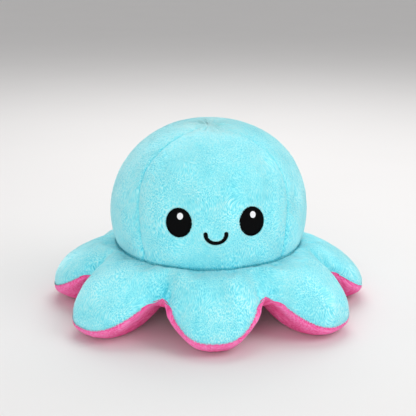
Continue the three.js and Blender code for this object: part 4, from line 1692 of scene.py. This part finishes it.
    def cover(self, arm: int, side: str, layer: Layer) -> Piece:
        """Builds the top or underside of an arm from its share of a layer."""
        name, mine = f"arm_{ARM_NAMES[arm]}", self.share(arm)
        piece = Cover(f"{name}_{side}_plush", layer.points[:, mine], layer.normals[:, mine], -1,
                      layer.nap[:, mine], layer.pile[:, mine]).build()
        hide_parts(f"{name}_{side}", f"skirt_{side}", f"{name}_stuffing", "skirt_stuffing")
        return piece

    def build(self, cloths: Cloths) -> list[Piece]:
        """Builds all eight arms: the top, fringe and underside of each."""
        moves = self.moves()
        top = self.top(moves[True])
        under = self.underside(moves[False], top.edge)
        made = []
        for arm, name in enumerate(ARM_NAMES):
            start, end = (tuple(swing(arm * self.form.pitch, radius, self.bend_height))
                          for radius in (self.bend_start, self.bend_end))
            for part, slot in ((self.cover(arm, "top", top), Slot.AQUA),
                               (self.fringe(arm, top, under), Slot.AQUA),
                               (self.cover(arm, "underside", under), Slot.PINK)):
                dress(part, cloths, slot)
                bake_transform(part)
                made.append(part)
        return made


@dataclass(frozen=True)
class Studio:
    """A pale floor, soft light and the camera.

    Attributes:
        distance: Of the camera from its aim.
        elevation: Of the camera.
        azimuth: Of the camera.
        aim_height: Height of the point that camera and lamps are turned to.
        focal_pixels: The camera's focal length in pixels.
        image_pixels: Width and height of the photograph.
        shift_pixels: How far the picture is moved, in pixels.
        sensor: Width of the camera's sensor in millimetres.
        room_light: Strength of the even light in the room.
        lamps: For each lamp, its name, its place, its width and its power.
    """

    distance: float = 1.2
    elevation: float = math.radians(17)
    azimuth: float = math.radians(-2.6)
    aim_height: float = 0.1165
    focal_pixels: float = 927
    image_pixels: int = 416
    shift_pixels: tuple[float, float] = (-0.5, 2.3)
    sensor: float = 36.0
    room_light: float = 0.52
    lamps: tuple[tuple[str, Place, float, float], ...] = (("key", (1.3, -0.6, 1.45), 1.2, 10.5),
                                                           ("fill", (-0.4, -1.9, 0.42), 1.4, 15.5),
                                                           ("back", (0.1, 0.9, 1.5), 1.3, 16))

    def floor(self) -> None:
        """Lays the floor."""
        bpy.ops.mesh.primitive_circle_add(vertices=96, radius=14, fill_type="NGON", location=(0, 0, 0))
        made = bpy.context.active_object
        made.name = "studio_floor"
        made.data.materials.append(PaperFinish().material("studio_paper"))

    def aimed(self, name: str, data: bpy.types.ID, place: Vector) -> Piece:
        """Puts up a lamp or a camera at a place, turned to the toy."""
        made = linked(name, data)
        made.location = place
        made.rotation_euler = (Vector((0, 0, self.aim_height)) - place).to_track_quat("-Z", "Y").to_euler()
        return made

    def lamp(self, name: str, place: Place, size: float, power: float) -> None:
        """Hangs a square soft lamp at a place."""
        light = bpy.data.lights.new(name, "AREA")
        light.size, light.energy = size, power
        self.aimed(name, light, Vector(place))

    def world(self) -> None:
        """Fills the room with even light, which the camera sees as the floor's own colour."""
        world = bpy.data.worlds.new("studio_room")
        bpy.context.scene.world = world
        nodes = Nodes(world)
        light = nodes.tree.nodes["Background"]
        nodes.feed(light.inputs["Color"], (1, 1, 1))
        nodes.feed(light.inputs["Strength"], self.room_light)
        seen = nodes.add("Background", {"Color": PAPER})
        mix = nodes.add("MixShader", {"Fac": nodes.add("LightPath").outputs["Is Camera Ray"],
                                      1: light.outputs["Background"], 2: seen.outputs["Background"]})
        nodes.feed(nodes.tree.nodes["World Output"].inputs["Surface"], mix.outputs["Shader"])

    def camera(self) -> None:
        """Sets the camera to the photograph's angle."""
        data = bpy.data.cameras.new("camera")
        data.sensor_width = self.sensor
        data.lens = self.sensor * self.focal_pixels / self.image_pixels
        data.shift_x, data.shift_y = (pixels / self.image_pixels for pixels in self.shift_pixels)
        flat = math.cos(self.elevation)
        away = Vector((math.sin(self.azimuth) * flat, -math.cos(self.azimuth) * flat, math.sin(self.elevation)))
        place = Vector((0, 0, self.aim_height)) + self.distance * away
        bpy.context.scene.camera = self.aimed("camera", data, place)

    def build(self) -> None:
        """Sets up the whole studio."""
        self.floor()
        self.world()
        for lamp in self.lamps:
            self.lamp(*lamp)
        self.camera()
        bpy.context.scene.view_settings.view_transform = "Standard"


def main() -> None:
    """Builds the scene, each sub-assembly in order."""
    logging.basicConfig(level=logging.INFO, format="%(name)s: %(message)s")
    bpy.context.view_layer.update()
    bpy.ops.object.select_all(action="DESELECT")
    Studio().build()
    cloths = {slot: finish.material(slot.value) for slot, finish in FINISHES.items()}
    for piece in Face().build(cloths) + Head().build(cloths) + Skirt().build(cloths):
        LOG.info("%s: %d faces", piece.name, len(piece.data.polygons))
    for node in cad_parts.values():
        if not node.hide_render:
            LOG.info("still shown as in CAD: %s", node.name)


if __name__ == "__main__":
    main()
